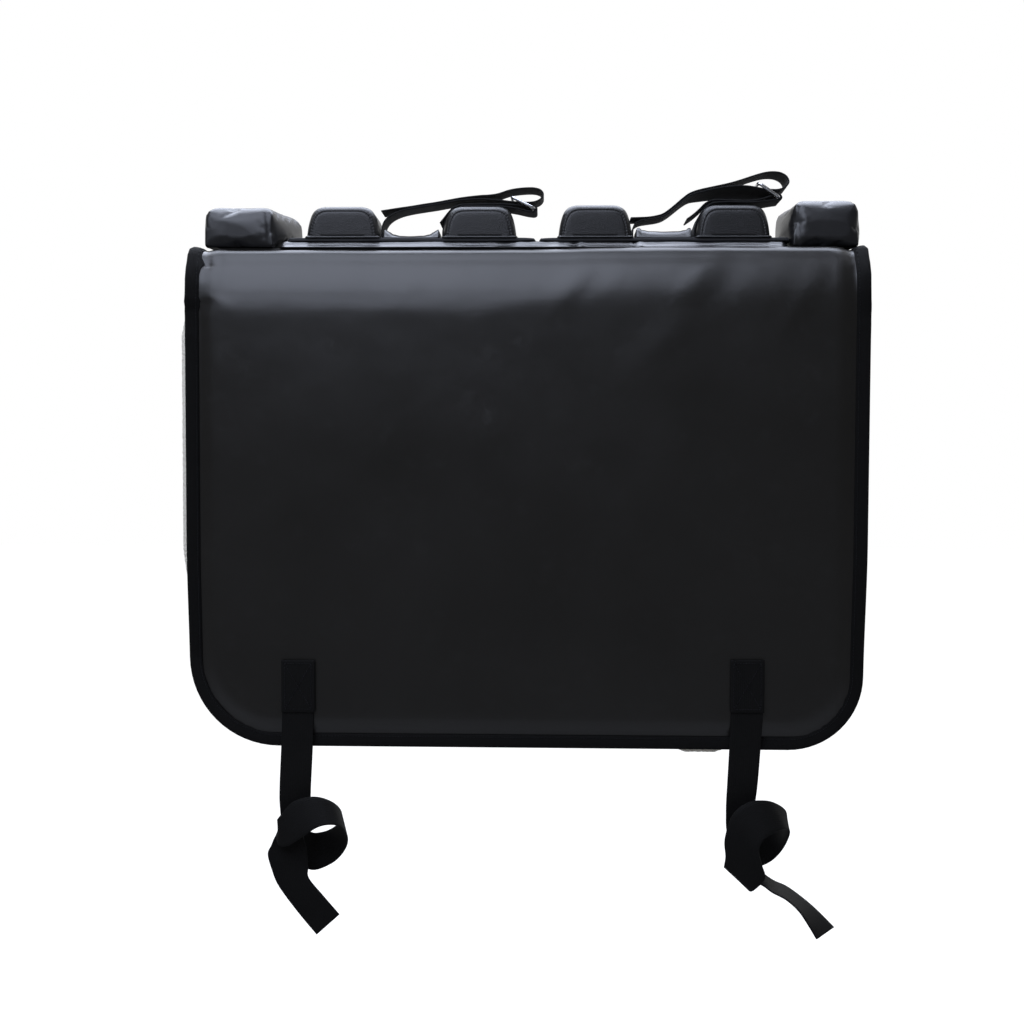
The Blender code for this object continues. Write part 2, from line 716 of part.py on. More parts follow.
def make_buckle(side, x):
    """Ladder-lock: a flat frame with two windows and a lip to pull."""
    bm = bmesh.new()
    grid = []
    for row, z in enumerate(BUCKLE_ROWS):
        lean = BUCKLE_LIP if row == len(BUCKLE_ROWS) - 1 else 0
        y = 70 * MM + lean
        grid.append([bm.verts.new((x + a * MM, y, z * MM)) for a in BUCKLE_COLUMNS])
    for row in range(len(BUCKLE_ROWS) - 1):
        for column in range(len(BUCKLE_COLUMNS) - 1):
            if row in BUCKLE_WINDOWS and column == 1:
                continue
            upper = grid[row]
            lower = grid[row + 1]
            bm.faces.new((upper[column], upper[column + 1], lower[column + 1], lower[column]))
    thing = add_object("ladder_lock_" + side, bm, "buckle_plastic")
    solid = thing.modifiers.new("thickness", "SOLIDIFY")
    solid.thickness = BUCKLE_THICKNESS
    solid.offset = 0
    edges = thing.modifiers.new("edges", "BEVEL")
    edges.width = 0.8 * MM
    edges.segments = 1
    edges.limit_method = "ANGLE"
    edges.angle_limit = math.radians(50)
    return thing


# Build

clear_scene()
PARTS = bpy.data.collections.new("tailgate_bike_pad")
bpy.context.scene.collection.children.link(PARTS)

make_cover()
make_foam_board()
make_lining()
make_edge_tape()
make_plinth()

for label, bay in zip(("left", "right"), BAY_CENTRES):
    make_base(label, bay)
    make_saddle(label, bay)
    make_block(label + "_outer", bay + math.copysign(BLOCK_SPACING / 2, bay))
    make_block(label + "_inner", bay - math.copysign(BLOCK_SPACING / 2, bay))

for bolster in BOLSTERS:
    make_bolster(*bolster)

for label, bay, long_strap, short_strap, bars in (
    ("left", BAY_CENTRES[0], CRADLE_STRAP_LEFT, RING_STRAP_LEFT, RING_BARS_LEFT),
    ("right", BAY_CENTRES[1], CRADLE_STRAP_RIGHT, RING_STRAP_RIGHT, RING_BARS_RIGHT),
):
    long_mesh = side_on_strap(long_strap, bay, 2, CRADLE_STRAP_THICKNESS)
    add_object("cradle_strap_" + label, long_mesh, "hook_and_loop")
    short_mesh = side_on_strap(short_strap, bay, 2, CRADLE_STRAP_THICKNESS)
    add_object("ring_strap_" + label, short_mesh, "hook_and_loop")
    make_ring(label, bay, *bars)

for label, knot, x_centre, patch_top in zip(
    ("left", "right"), (KNOT_LEFT, KNOT_RIGHT), BOTTOM_STRAP_X, PATCH_TOPS
):
    make_bottom_strap(label, knot)
    make_patch(label, x_centre, patch_top)
    make_tab(label, x_centre)
    make_buckle(label, x_centre)
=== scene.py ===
"""Padded tailgate cover with two bicycle cradles, dressed for its picture.

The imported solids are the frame: every piece here sits where its solid sits.
Sewn layers are made flat, as (x, s, h), and then hung over the tailgate:
s runs over the tailgate from the front hem to the back one, h is the height.
"""

import math

import bmesh
import bpy
from mathutils import Matrix, Vector, noise


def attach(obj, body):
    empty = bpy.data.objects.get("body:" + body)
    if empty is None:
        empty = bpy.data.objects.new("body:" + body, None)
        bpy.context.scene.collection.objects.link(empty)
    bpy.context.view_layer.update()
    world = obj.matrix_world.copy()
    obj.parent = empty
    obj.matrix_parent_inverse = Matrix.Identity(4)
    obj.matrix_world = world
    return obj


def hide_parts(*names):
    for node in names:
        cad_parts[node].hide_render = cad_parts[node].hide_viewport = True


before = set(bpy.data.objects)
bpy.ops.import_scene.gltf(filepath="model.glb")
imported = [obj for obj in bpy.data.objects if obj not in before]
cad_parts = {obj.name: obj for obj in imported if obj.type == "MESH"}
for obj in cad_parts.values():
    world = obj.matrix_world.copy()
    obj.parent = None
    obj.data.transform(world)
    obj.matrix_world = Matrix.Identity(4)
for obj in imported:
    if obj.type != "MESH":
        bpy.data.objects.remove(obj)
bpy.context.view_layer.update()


# Outer cover
# One sheet of coated tarpaulin over a foam board, sewn down round its edge.
# It hangs by its own weight: a long panel in front, a short flap behind.

MM = 0.001
GATE_HALF_THICKNESS = 50 * MM
FRONT_FOLD = (20 * MM, 42 * MM)
BACK_FOLD = (10 * MM, 18 * MM)
HALF_WIDTH = 396.5 * MM
FRONT_DROP = 574.5 * MM
BACK_DROP = 300 * MM
HEM_TOP = 7.0 * MM
HEM_LIFT = 5 * MM
BRINK_LIFT = 5.2 * MM
BRINK_FLARE = 1.5 * MM
SIDE_SPREAD = 3 * MM
DECK_EDGE = -34 * MM
FRONT_FOLD_SPAN = (-88 * MM, -28 * MM)
BACK_FOLD_SPAN = (28 * MM, 64 * MM)
PAD_TOP = 17.8 * MM
HEM_WIDTH = 14 * MM
RAMP_WIDTH = 18 * MM
COVER_SKIN = 1.2 * MM


def fold_stations():
    """Where the cover bends: s, the point (y, z) and the normal (y, z)."""
    rows = []
    for side, (half_y, half_z) in ((-1, FRONT_FOLD), (1, BACK_FOLD)):
        start = side * (GATE_HALF_THICKNESS - half_y)
        s = start
        row = [(s, (start, 0.0), (0.0, 1.0))]
        for step in range(1, 31):
            angle = math.pi / 2 * step / 30
            turn = math.atan2(half_y * math.sin(angle), half_z * math.cos(angle))
            point = (start + side * half_y * math.sin(turn), half_z * (math.cos(turn) - 1))
            s += side * math.dist(point, row[-1][1])
            row.append((s, point, (side * math.sin(angle), math.cos(angle))))
        rows.append(row)
    return rows[0][::-1] + rows[1]


STATIONS = fold_stations()
FRONT_END = STATIONS[0][0] - (FRONT_DROP + STATIONS[0][1][1])
BACK_END = STATIONS[-1][0] + (BACK_DROP + STATIONS[-1][1][1])


def drape(x, s, h):
    """Hang a point of the flat pattern over the tailgate."""
    first = second = STATIONS[0]
    for second in STATIONS:
        if second[0] >= s:
            break
        first = second
    past = min(0.0, s - STATIONS[0][0]) + min(0.0, STATIONS[-1][0] - s)
    t = 0.0
    if first is not second and s < second[0]:
        t = (s - first[0]) / (second[0] - first[0])
    elif s > second[0]:
        first = second
    y, z = (a + t * (b - a) for a, b in zip(first[1], second[1]))
    normal_y, normal_z = (a + t * (b - a) for a, b in zip(first[2], second[2]))
    return Vector((x, y + normal_y * h, z + past + normal_z * h))


def front_z(s):
    """Height on the front panel of a place on the pattern."""
    return STATIONS[0][1][1] - (STATIONS[0][0] - s)


# Corners of the pattern: side in x, side in s, radius
PATTERN_CORNERS = (
    (-1, -1, 104 * MM),
    (1, -1, 86 * MM),
    (1, 1, 60 * MM),
    (-1, 1, 60 * MM),
)


def pattern_edge(inset, arc_steps=16, gap=7 * MM):
    """Edge of the flat pattern moved inwards, with as many points each time."""
    arcs = []
    for number, (side_x, side_s, radius) in enumerate(PATTERN_CORNERS):
        x = side_x * (HALF_WIDTH - radius)
        s = FRONT_END + radius if side_s < 0 else BACK_END - radius
        arc = []
        for step in range(arc_steps + 1):
            angle = math.pi / 2 * (2 + number + step / arc_steps)
            reach = radius - inset
            arc.append((x + reach * math.cos(angle), s + reach * math.sin(angle)))
        arcs.append(arc)
    points = []
    for number, (arc, after) in enumerate(zip(arcs, arcs[1:] + arcs[:1])):
        points += arc
        length = 2 * HALF_WIDTH if number % 2 == 0 else BACK_END - FRONT_END
        count = int(length / gap)
        for step in range(1, count):
            t = step / count
            points.append(tuple(a + t * (b - a) for a, b in zip(arc[-1], after[0])))
    return points


def edge_distance(x, s):
    """How far inside the pattern's edge a point lies."""
    along_x = HALF_WIDTH - abs(x)
    along_s = min(s - FRONT_END, BACK_END - s)
    for side_x, side_s, radius in PATTERN_CORNERS:
        if x * side_x > 0 and (s - (FRONT_END + BACK_END) / 2) * side_s > 0:
            if along_x < radius and along_s < radius:
                return radius - math.hypot(radius - along_x, radius - along_s)
    return min(along_x, along_s)


# Puckers of the hem below the front brink: side, height z, half width, rise, in mm
HEM_PUCKERS = (
    (-1, -1, 3.0, 1.8), (-1, -8, 2.6, -1.5), (-1, -50, 3.2, 1.8), (-1, -57, 2.6, -1.3),
    (-1, -28, 6.0, 0.7), (-1, -92, 5.0, 0.8), (1, 2, 4.5, 2.2), (1, -7, 3.2, -1.6),
    (1, -24, 4.0, 1.0), (1, -46, 5.0, -0.9), (1, -78, 7.0, 0.7),
)


def rise_to(value, low, high):
    """Smooth step from 0 at the low value to 1 at the high one."""
    t = min(1.0, max(0.0, (value - low) / (high - low)))
    return t * t * (3 - 2 * t)


def crease(at, centre, half):
    """Soft bump: 1 at its centre, nearly 0 at twice its half width."""
    return math.exp(-((at - centre) / half) ** 2)


# Pinched places of the left hem: height z and extra width, in mm
HEM_TUCKS = ((-11, 5), (-53, 3.5))
TUCK_HALF = 4 * MM
TUCK_REACH = 50 * MM


def hem_tuck(x, s):
    """Extra width of the hem where it is pinched, on the left below the brink."""
    if x > TUCK_REACH - HALF_WIDTH or s > DECK_EDGE:
        return 0.0
    return sum(wide * MM * crease(front_z(s), z * MM, TUCK_HALF) for z, wide in HEM_TUCKS)


# Where the hem starts to flare or lift and where it does so fully: the front
# pairs are counted along s and the back pairs against it
FLARE_FRONT = (-118 * MM, -62 * MM)
FLARE_BACK = (-70 * MM, -30 * MM)
LIFT_FRONT = (-108 * MM, -78 * MM)
LIFT_BACK = (-64 * MM, -36 * MM)


def flare(x, s):
    """The hem spreads sideways at the front brink, and more down the panel."""
    on_top = rise_to(s, *FLARE_FRONT) * rise_to(-s, *FLARE_BACK)
    z = front_z(s)
    hanging = rise_to(-z, 30 * MM, 62 * MM) * rise_to(z, -500 * MM, -330 * MM)
    spread = BRINK_FLARE * on_top * (1 - hanging) + SIDE_SPREAD * hanging
    return x + math.copysign(spread * (abs(x) / HALF_WIDTH) ** 12, x)


def hem_lift(x, s):
    """How far the sewn hem stands off the tailgate; most at the front brink."""
    lift = HEM_LIFT * crease(max(6 * MM, edge_distance(x, s)), 6 * MM, 16 * MM)
    on_top = rise_to(s, *LIFT_FRONT) * rise_to(-s, *LIFT_BACK)
    near_side = crease(abs(x), HALF_WIDTH, 15 * MM)
    lift += BRINK_LIFT * on_top * near_side
    for side, z, half, rise in HEM_PUCKERS:
        if side * x > 0:
            lift += rise * MM * near_side * crease(front_z(s), z * MM, half * MM)
    return lift


def slice_pattern(bm, xs, ss):
    """Cut a flat pattern along lines of constant x and of constant s."""
    for stops, normal in ((xs, Vector((1, 0, 0))), (ss, Vector((0, 1, 0)))):
        for stop in stops:
            geometry = bm.verts[:] + bm.edges[:] + bm.faces[:]
            place = normal * stop
            bmesh.ops.bisect_plane(bm, geom=geometry, dist=1e-7, plane_co=place, plane_no=normal)


def spaced(low, high, gap):
    """Even stops between two ends, without the ends."""
    count = max(1, round((high - low) / gap))
    return [low + (high - low) * step / count for step in range(1, count)]


def write_uv(bm):
    """Keep each point's place on the flat pattern, in metres, as its UV."""
    layer = bm.loops.layers.uv.new("pattern")
    for face in bm.faces:
        for loop in face.loops:
            loop[layer].uv = loop.vert.co.xy


material = bpy.data.materials.new


class Value:
    """A shader socket; sums and products of it add their Math nodes."""

    def __init__(self, finish, socket):
        self.finish = finish
        self.socket = socket

    def math(self, operation, first, second):
        return self.finish.node("Math", {"operation": operation}, {0: first, 1: second})

    def __add__(self, other):
        return self.math("ADD", self, other)

    def __sub__(self, other):
        return self.math("SUBTRACT", self, other)

    def __rsub__(self, other):
        return self.math("SUBTRACT", other, self)

    def __mul__(self, other):
        return self.math("MULTIPLY", self, other)

    __radd__ = __add__
    __rmul__ = __mul__


class Finish:
    """The nodes of a material or of the world, and the one way to add one."""

    def __init__(self, owner, shader="Principled BSDF", **constants):
        owner.use_nodes = True
        self.owner = owner
        self.tree = owner.node_tree
        self.shader = self.tree.nodes[shader]
        for socket, value in constants.items():
            self.shader.inputs[socket.replace("_", " ")].default_value = value

    def node(self, kind, settings=None, sockets=None, output=0):
        made = self.tree.nodes.new("ShaderNode" + kind)
        for name, value in (settings or {}).items():
            if name == "stops":
                ramp = made.color_ramp
                while len(ramp.elements) < len(value):
                    ramp.elements.new(0.5)
                for element, (place, colour) in zip(ramp.elements, value):
                    element.position = place
                    element.color = (*colour, 1)
            else:
                setattr(made, name, value)
        for name, value in (sockets or {}).items():
            if isinstance(value, Value):
                self.tree.links.new(value.socket, made.inputs[name])
            else:
                made.inputs[name].default_value = value
        return Value(self, made.outputs[output])

    def shade(self, **inputs):
        for name, value in inputs.items():
            self.tree.links.new(value.socket, self.shader.inputs[name.replace("_", " ")])
        return self.owner

    def place(self):
        return self.node("TexCoord", output="Object")

    def pattern(self):
        return self.node("UVMap", {"uv_map": "pattern"})

    def noise(self, vector, scale, detail=3.0, roughness=0.5):
        sockets = {"Vector": vector, "Scale": scale, "Detail": detail, "Roughness": roughness}
        return self.node("TexNoise", {}, sockets)

    def between(self, low, high, factor):
        """Colour that runs from one to the other."""
        return self.node("Mix", {"data_type": "RGBA"}, {0: factor, 6: (*low, 1), 7: (*high, 1)}, 2)

    def axes(self, vector):
        split = self.node("SeparateXYZ", {}, {0: vector})
        outputs = split.socket.node.outputs
        return [Value(self, outputs[axis]) for axis in range(3)]

    def sine(self, value):
        return self.node("Math", {"operation": "SINE"}, {0: value})

    def bump(self, height, distance, strength=1.0, under=None):
        sockets = {"Height": height, "Distance": distance, "Strength": strength}
        if under:
            sockets["Normal"] = under
        return self.node("Bump", {}, sockets)


def tarpaulin(name, dark, light, roughness, on_pattern, shine=0.5):
    """Coated cloth: a fine weave under a skin, with faint creases and scuffs."""
    finish = Finish(material(name), Roughness=roughness, Specular_IOR_Level=shine)
    place = finish.place()
    x, y, z = finish.axes(finish.pattern() if on_pattern else place)
    pitch = math.tau / (1.1 * MM)
    if on_pattern:
        weave = finish.sine(x * pitch) * finish.sine(y * pitch)
    else:
        weave = finish.sine(x * pitch) * finish.sine(z * pitch)
        weave = weave + finish.sine(x * pitch) * finish.sine(y * pitch)
        weave = weave + finish.sine(y * pitch) * finish.sine(z * pitch)
    cloud = finish.noise(place, 9.0, 4.0)
    grain = finish.noise(place, 1400.0, 2.0)
    scuff = finish.node("MapRange", {}, {0: finish.noise(place, 38.0, 8.0, 0.7), 1: 0.55, 2: 0.8})
    dent = finish.noise(place, 16.0, 3.0, 0.45)
    fine = finish.bump(weave * 0.5 + grain, 0.05 * MM, 0.5)
    soft = finish.bump(dent, 2.2 * MM, 0.35, fine)
    return finish.shade(
        Base_Color=finish.between(dark, light, cloud * 0.8 + scuff * 0.5),
        Roughness=cloud * 0.1 + scuff * 0.08 + (roughness - 0.06) + grain * 0.03,
        Normal=soft,
    )


def mesh_of(name, bm):
    """Turn a bmesh into a mesh and free it."""
    mesh = bpy.data.meshes.new(name)
    bm.to_mesh(mesh)
    bm.free()
    return mesh


def put(name, data):
    """Add an object to the scene."""
    made = bpy.data.objects.new(name, data)
    bpy.context.scene.collection.objects.link(made)
    return made


def add_piece(name, bm, finish, slot, *nodes):
    """Make a piece of a bmesh, let it ride and let it stand for its solids."""
    mesh = mesh_of(name, bm)
    mesh.shade_smooth()
    mesh.materials.append(finish)
    piece = put(name, mesh)
    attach(piece, "root")
    if nodes:
        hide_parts(*nodes)
    return piece


def add_wall(piece, thickness, offset, edge=0.0, segments=2):
    """Give a sheet its thickness, and round its edges."""
    wall = piece.modifiers.new("thickness", "SOLIDIFY")
    wall.thickness = thickness
    wall.offset = offset
    wall.use_even_offset = True
    if edge:
        round_off = piece.modifiers.new("edges", "BEVEL")
        round_off.width = edge
        round_off.segments = segments
        round_off.limit_method = "ANGLE"
        round_off.angle_limit = math.radians(55)


# Swelling of the padding, wide and close, and the bend below the brink
WIDE_SWELL = 1.3 * MM
CLOSE_SWELL = 0.35 * MM
BEND_DEPTH = 5 * MM
BEND_FROM = -30 * MM
BRINK_SWELL = 4.2 * MM
BRINK_LINE = -37 * MM
BRINK_HALF = 4.6 * MM
DECK_REACH = 40 * MM
SWELL_RAMP = 30 * MM

# Soft folds of the front panel: two ends in x and z, height and half width, in mm
PANEL_FOLDS = (
    ((74, -2), (30, -66), 0.6, 14),
    ((88, -20), (56, -56), -0.4, 10),
    ((232, 2), (176, -44), 1.0, 12),
    ((250, -22), (196, -60), -0.7, 12),
    ((340, -16), (300, -84), 0.8, 11),
    ((206, -46), (130, -132), 0.8, 18),
    ((-250, -59), (-124, -59), 0.35, 4),
    ((-384, -40), (-346, -58), 0.8, 7),
    ((-352, -520), (-312, -552), 0.4, 9),
)


def panel_height(x, s):
    """Height of the cover's outer face over the pattern."""
    depth = edge_distance(x, s)
    share = min(1.0, max(0.0, (depth - HEM_WIDTH - hem_tuck(x, s)) / RAMP_WIDTH))
    hem = HEM_TOP + hem_lift(x, s)
    height = hem + (PAD_TOP - hem) * math.sin(share * math.pi / 2) ** 0.85
    padded = min(1.0, max(0.0, (depth - HEM_WIDTH) / SWELL_RAMP))
    height += WIDE_SWELL * noise.noise((x * 5.5, s * 5.5, 7.0)) * padded
    height += CLOSE_SWELL * noise.noise((x * 19, s * 15, 2.0)) * padded
    if depth > HEM_WIDTH:
        tuck = math.exp(-(depth - HEM_WIDTH) / (9 * MM)) * math.sin(share * math.pi)
        height += 0.9 * MM * tuck * noise.noise((x * 70, s * 70, 5.0))
    at = Vector((x, front_z(s)))
    for (x0, z0), (x1, z1), rise, half in PANEL_FOLDS:
        start = Vector((x0, z0)) * MM
        run = Vector((x1, z1)) * MM - start
        t = (at - start).dot(run) / run.length_squared
        if -0.25 < t < 1.25:
            off = (at - start - run * t).length
            taper = math.sin(math.pi * (t + 0.25) / 1.5)
            height += rise * MM * crease(off, 0, half * MM) * taper * padded
    depth_here = BEND_DEPTH * (1 - 0.66 * rise_to(x, -10 * MM, 110 * MM))
    if s < BEND_FROM:
        foot = -68 * MM + 14 * MM * rise_to(x, -70 * MM, 40 * MM)
        height -= depth_here * rise_to(front_z(s), foot, -14 * MM) * padded
    if abs(s) < DECK_REACH:
        height = min(height, PAD_TOP)
    return height + BRINK_SWELL * crease(s, BRINK_LINE, BRINK_HALF) * padded


cover_dark = (0.0064, 0.0059, 0.0053)
cover_light = (0.0106, 0.0098, 0.0089)
tarpaulin_finish = tarpaulin("tarpaulin", cover_dark, cover_light, 0.30, True)

# Widths of the rings of faces from the edge inwards, in mm
hem_rings = (7, 6, 1.5, 1.5, 2.5, 3, 4, 4, 5)

bm = bmesh.new()
pattern = bm.faces.new([bm.verts.new((x, s, 0)) for x, s in pattern_edge(0)])
for step in hem_rings:
    bmesh.ops.inset_region(bm, faces=[pattern], thickness=step * MM, use_even_offset=True)
fold_lines = spaced(*FRONT_FOLD_SPAN, 3 * MM) + spaced(*BACK_FOLD_SPAN, 3 * MM)
lines = spaced(FRONT_END, FRONT_FOLD_SPAN[0], 7 * MM)
lines += spaced(FRONT_FOLD_SPAN[1], BACK_FOLD_SPAN[0], 7 * MM)
lines += spaced(BACK_FOLD_SPAN[1], BACK_END, 8 * MM) + fold_lines
lines += [*FRONT_FOLD_SPAN, *BACK_FOLD_SPAN]
slice_pattern(bm, spaced(-HALF_WIDTH, HALF_WIDTH, 6.5 * MM), sorted(lines))
write_uv(bm)
for vert in bm.verts:
    x, s, _ = vert.co
    vert.co = drape(flare(x, s), s, panel_height(x, s))
cover = add_piece("cover", bm, tarpaulin_finish, "tarpaulin", "outer_cover", "foam_board")
add_wall(cover, COVER_SKIN, -1)


# Fleece lining
# A pile sheet sewn into the same hem, against the tailgate's paint.
# It creeps out past the tape at the left side and at one place below.

LINING_THICKNESS = 4 * MM
LINING_SET_BACK = 1 * MM
LINING_PEEK = 6.2 * MM


def lining_point(x, s):
    """Let the lining creep out where it is loose, with a ragged pile."""
    z = front_z(s)
    rag = noise.noise((x * 260, s * 420, 1.0)) * 0.7 * MM
    if x < -HALF_WIDTH + 3 * MM and s < STATIONS[0][0] + 60 * MM:
        rise = min(1, max(0, (-z - 55 * MM) / (35 * MM)))
        fall = min(1, max(0, (400 * MM + z) / (55 * MM)))
        x -= (LINING_PEEK + LINING_SET_BACK) * min(rise, fall) * 0.93 - rag
    if s < FRONT_END + 3 * MM and 175 * MM < x < 242 * MM:
        reach = min(1, (x - 175 * MM) / (15 * MM), (242 * MM - x) / (17 * MM))
        s -= LINING_PEEK * reach - rag
    return x, s


def fleece(name):
    """Short curled pile: clumps of cream fibre, with painted shade where the pile sinks between them."""
    finish = Finish(
        material(name), Roughness=0.95, Specular_IOR_Level=0.2, Sheen_Weight=0.4, Sheen_Roughness=0.6
    )
    place = finish.place()
    clump = finish.node("TexVoronoi", {}, {"Vector": place, "Scale": 420.0})
    curl = finish.noise(place, 900.0, 4.0, 0.7)
    # The pile is painted darker wherever it sinks, between the clumps and in the curl: painted shade.
    hollow_and_shade = clump * 0.7 + curl * 0.5
    return finish.shade(
        Base_Color=finish.between((0.94, 0.90, 0.79), (0.72, 0.67, 0.56), hollow_and_shade),
        Normal=finish.bump(1 - hollow_and_shade, 1.4 * MM, 0.9),
    )


bm = bmesh.new()
edge = [lining_point(x, s) for x, s in pattern_edge(LINING_SET_BACK, 16, 2.5 * MM)]
bm.faces.new([bm.verts.new((x, s, 0)) for x, s in edge])
border = 34 * MM
x_lines = spaced(border - HALF_WIDTH, HALF_WIDTH - border, 24 * MM)
s_lines = fold_lines + spaced(FRONT_END + border, BACK_END - border, 9 * MM)
for step in (8 * MM, 16 * MM, 24 * MM, border):
    x_lines += [step - HALF_WIDTH, HALF_WIDTH - step]
    s_lines += [FRONT_END + step, BACK_END - step]
slice_pattern(bm, x_lines, s_lines)
write_uv(bm)
lining_area = sum(face.calc_area() for face in bm.faces)
for vert in bm.verts:
    x, s, _ = vert.co
    vert.co = drape(flare(x, s), s, LINING_THICKNESS / 2 + hem_lift(x, s))
lining = add_piece("lining", bm, fleece("fleece"), "fleece", "fleece_lining")
add_wall(lining, LINING_THICKNESS, 0, 0.9 * MM)
lining_flat = (2 * HALF_WIDTH + LINING_PEEK, BACK_END - FRONT_END + LINING_PEEK)


# Edge tape
# Woven tape folded over the hem and the lining, sewn through with one row.
# It puckers where the hem turns over the front brink.

TAPE_LEG = 13.5 * MM
TAPE_WALL = 1.2 * MM
TAPE_TOP = 8.5 * MM
TAPE_BOTTOM = 4.3 * MM


def woven_band(name, dark, light, roughness, rib, cross):
    """Woven band: ribs along it, weft across it, a painted highlight on the crowns of its weave."""
    finish = Finish(material(name), Roughness=roughness, Specular_IOR_Level=0.1, Sheen_Weight=0.0)
    across, along, _ = finish.axes(finish.pattern())
    warp = finish.sine(across * (math.tau / rib))
    weft = finish.sine(along * (math.tau / cross) + warp * 1.2)
    weave = warp * 0.5 + weft * 0.5
    fuzz = finish.noise(finish.place(), 700.0, 3.0, 0.6)
    wear = finish.noise(finish.place(), 45.0, 5.0, 0.6)
    # The crowns of the weave are painted lighter and its hollows darker: painted highlight and painted
    # shade. Fuzz and wear vary the tone at random.
    return finish.shade(
        Base_Color=finish.between(dark, light, weave * 0.25 + fuzz * 0.3 + wear * 0.4),
        Roughness=fuzz * 0.12 + (roughness - 0.06),
        Normal=finish.bump(weave * 0.6 + fuzz * 0.5, 0.22 * MM, 0.7),
    )


middle = (TAPE_TOP + TAPE_BOTTOM) / 2
upper = TAPE_TOP - TAPE_WALL / 2
lower = TAPE_BOTTOM + TAPE_WALL / 2
TAPE_PROFILE = (
    (TAPE_LEG, upper - 0.15 * MM), (12 * MM, upper), (8 * MM, upper + 0.1 * MM), (4 * MM, upper),
    (1 * MM, upper), (-0.4 * MM, upper - 0.3 * MM), (-0.9 * MM, middle + 0.6 * MM),
    (-0.9 * MM, middle - 0.6 * MM), (-0.4 * MM, lower + 0.3 * MM), (1 * MM, lower), (TAPE_LEG, lower),
)


def tape_ring(inset, height):
    """Points of one row of the tape round the hem, with their places along it."""
    points = pattern_edge(inset)
    ring = []
    along = 0.0
    for number, (x, s) in enumerate(points):
        if number:
            along += math.dist((x, s), points[number - 1])
        if inset > TAPE_LEG - 3.5 * MM:
            x += hem_tuck(x, s)
        ring.append((drape(flare(x, s), s, height + hem_lift(x, s)), along))
    return ring


def write_band_uv(bm, layer):
    """Copy each point's place on its band to the UV map."""
    uv = bm.loops.layers.uv.new("pattern")
    for face in bm.faces:
        for loop in face.loops:
            loop[uv].uv = loop.vert[layer].xy


bm = bmesh.new()
band = bm.verts.layers.float_vector.new("band")
across = 0.0
for number, (inset, height) in enumerate(TAPE_PROFILE):
    ring = tape_ring(inset, height)
    if number == 0:
        row = [bm.verts.new(point) for point, _ in ring]
        edges = [bm.edges.new((row[i - 1], row[i])) for i in range(len(row))]
    else:
        across += math.dist(TAPE_PROFILE[number - 1], (inset, height))
        made = bmesh.ops.extrude_edge_only(bm, edges=edges)["geom"]
        twins = {tuple(part.co): part for part in made if isinstance(part, bmesh.types.BMVert)}
        edges = [part for part in made if isinstance(part, bmesh.types.BMEdge)]
        row = [twins[tuple(vert.co)] for vert in row]
    for vert, (point, along) in zip(row, ring):
        vert.co = point
        vert[band] = (across, along, 0)
write_band_uv(bm, band)
tape_dark = (0.0032, 0.0031, 0.0031)
tape_light = (0.0078, 0.0076, 0.0074)
tape_finish = woven_band("tape", tape_dark, tape_light, 0.7, 1.4 * MM, 1.1 * MM)
tape = add_piece("binding", bm, tape_finish, "tape", "edge_tape")
add_wall(tape, TAPE_WALL, 0)


def add_stitch(bm, start, end, radius):
    """One short length of thread."""
    run = end - start
    turn = run.to_track_quat("Z", "Y").to_matrix().to_4x4()
    matrix = Matrix.Translation((start + end) / 2) @ turn
    bmesh.ops.create_cone(
        bm, cap_ends=True, segments=6, radius1=radius, radius2=radius, depth=run.length, matrix=matrix
    )


def walk(points, pitch, share):
    """Starts and ends of stitches along a line of points."""
    stitches = []
    start = Vector(points[0])
    travelled = 0.0
    for first, second in zip(points, points[1:]):
        run = Vector(second) - Vector(first)
        place = pitch - travelled
        while place <= run.length:
            end = Vector(first) + run * (place / run.length)
            stitches.append((start, start + (end - start) * share))
            start = end
            place += pitch
        travelled = run.length - (place - pitch)
    return stitches


def sew(bm, line, stitch, place):
    """Stitches along a flat line; the function says where its points are."""
    pitch, share, radius = stitch
    for start, end in walk(line, pitch, share):
        add_stitch(bm, place(*start), place(*end), radius)


def on_hem(x, s):
    """Point on the tape's outer face."""
    return drape(flare(x, s), s, TAPE_TOP + 0.12 * MM + hem_lift(x, s))


# Pitch, share of it that shows, and radius of the thread
HEM_STITCH = (3.6 * MM, 0.72, 0.33 * MM)
thread_finish = woven_band("thread", (0.006, 0.006, 0.007), (0.02, 0.02, 0.022), 0.5, 0.5 * MM, 0.7 * MM)
bm = bmesh.new()
row = pattern_edge(11 * MM)
sew(bm, row + row[:1], HEM_STITCH, on_hem)
add_piece("binding_stitches", bm, thread_finish, "tape")


# Deck strip
# A low padded strip of the same tarpaulin along the deck, under the cradles.
# It is sewn down in front and behind; its left end is cut on the skew.

PLINTH_ENDS = (-298.5 * MM, 310.5 * MM)
PLINTH_REACH = (-31.2 * MM, 42 * MM)
PLINTH_HEIGHT = 7.4 * MM
PLINTH_SKEW = 16 * MM
GAP = 0.3 * MM


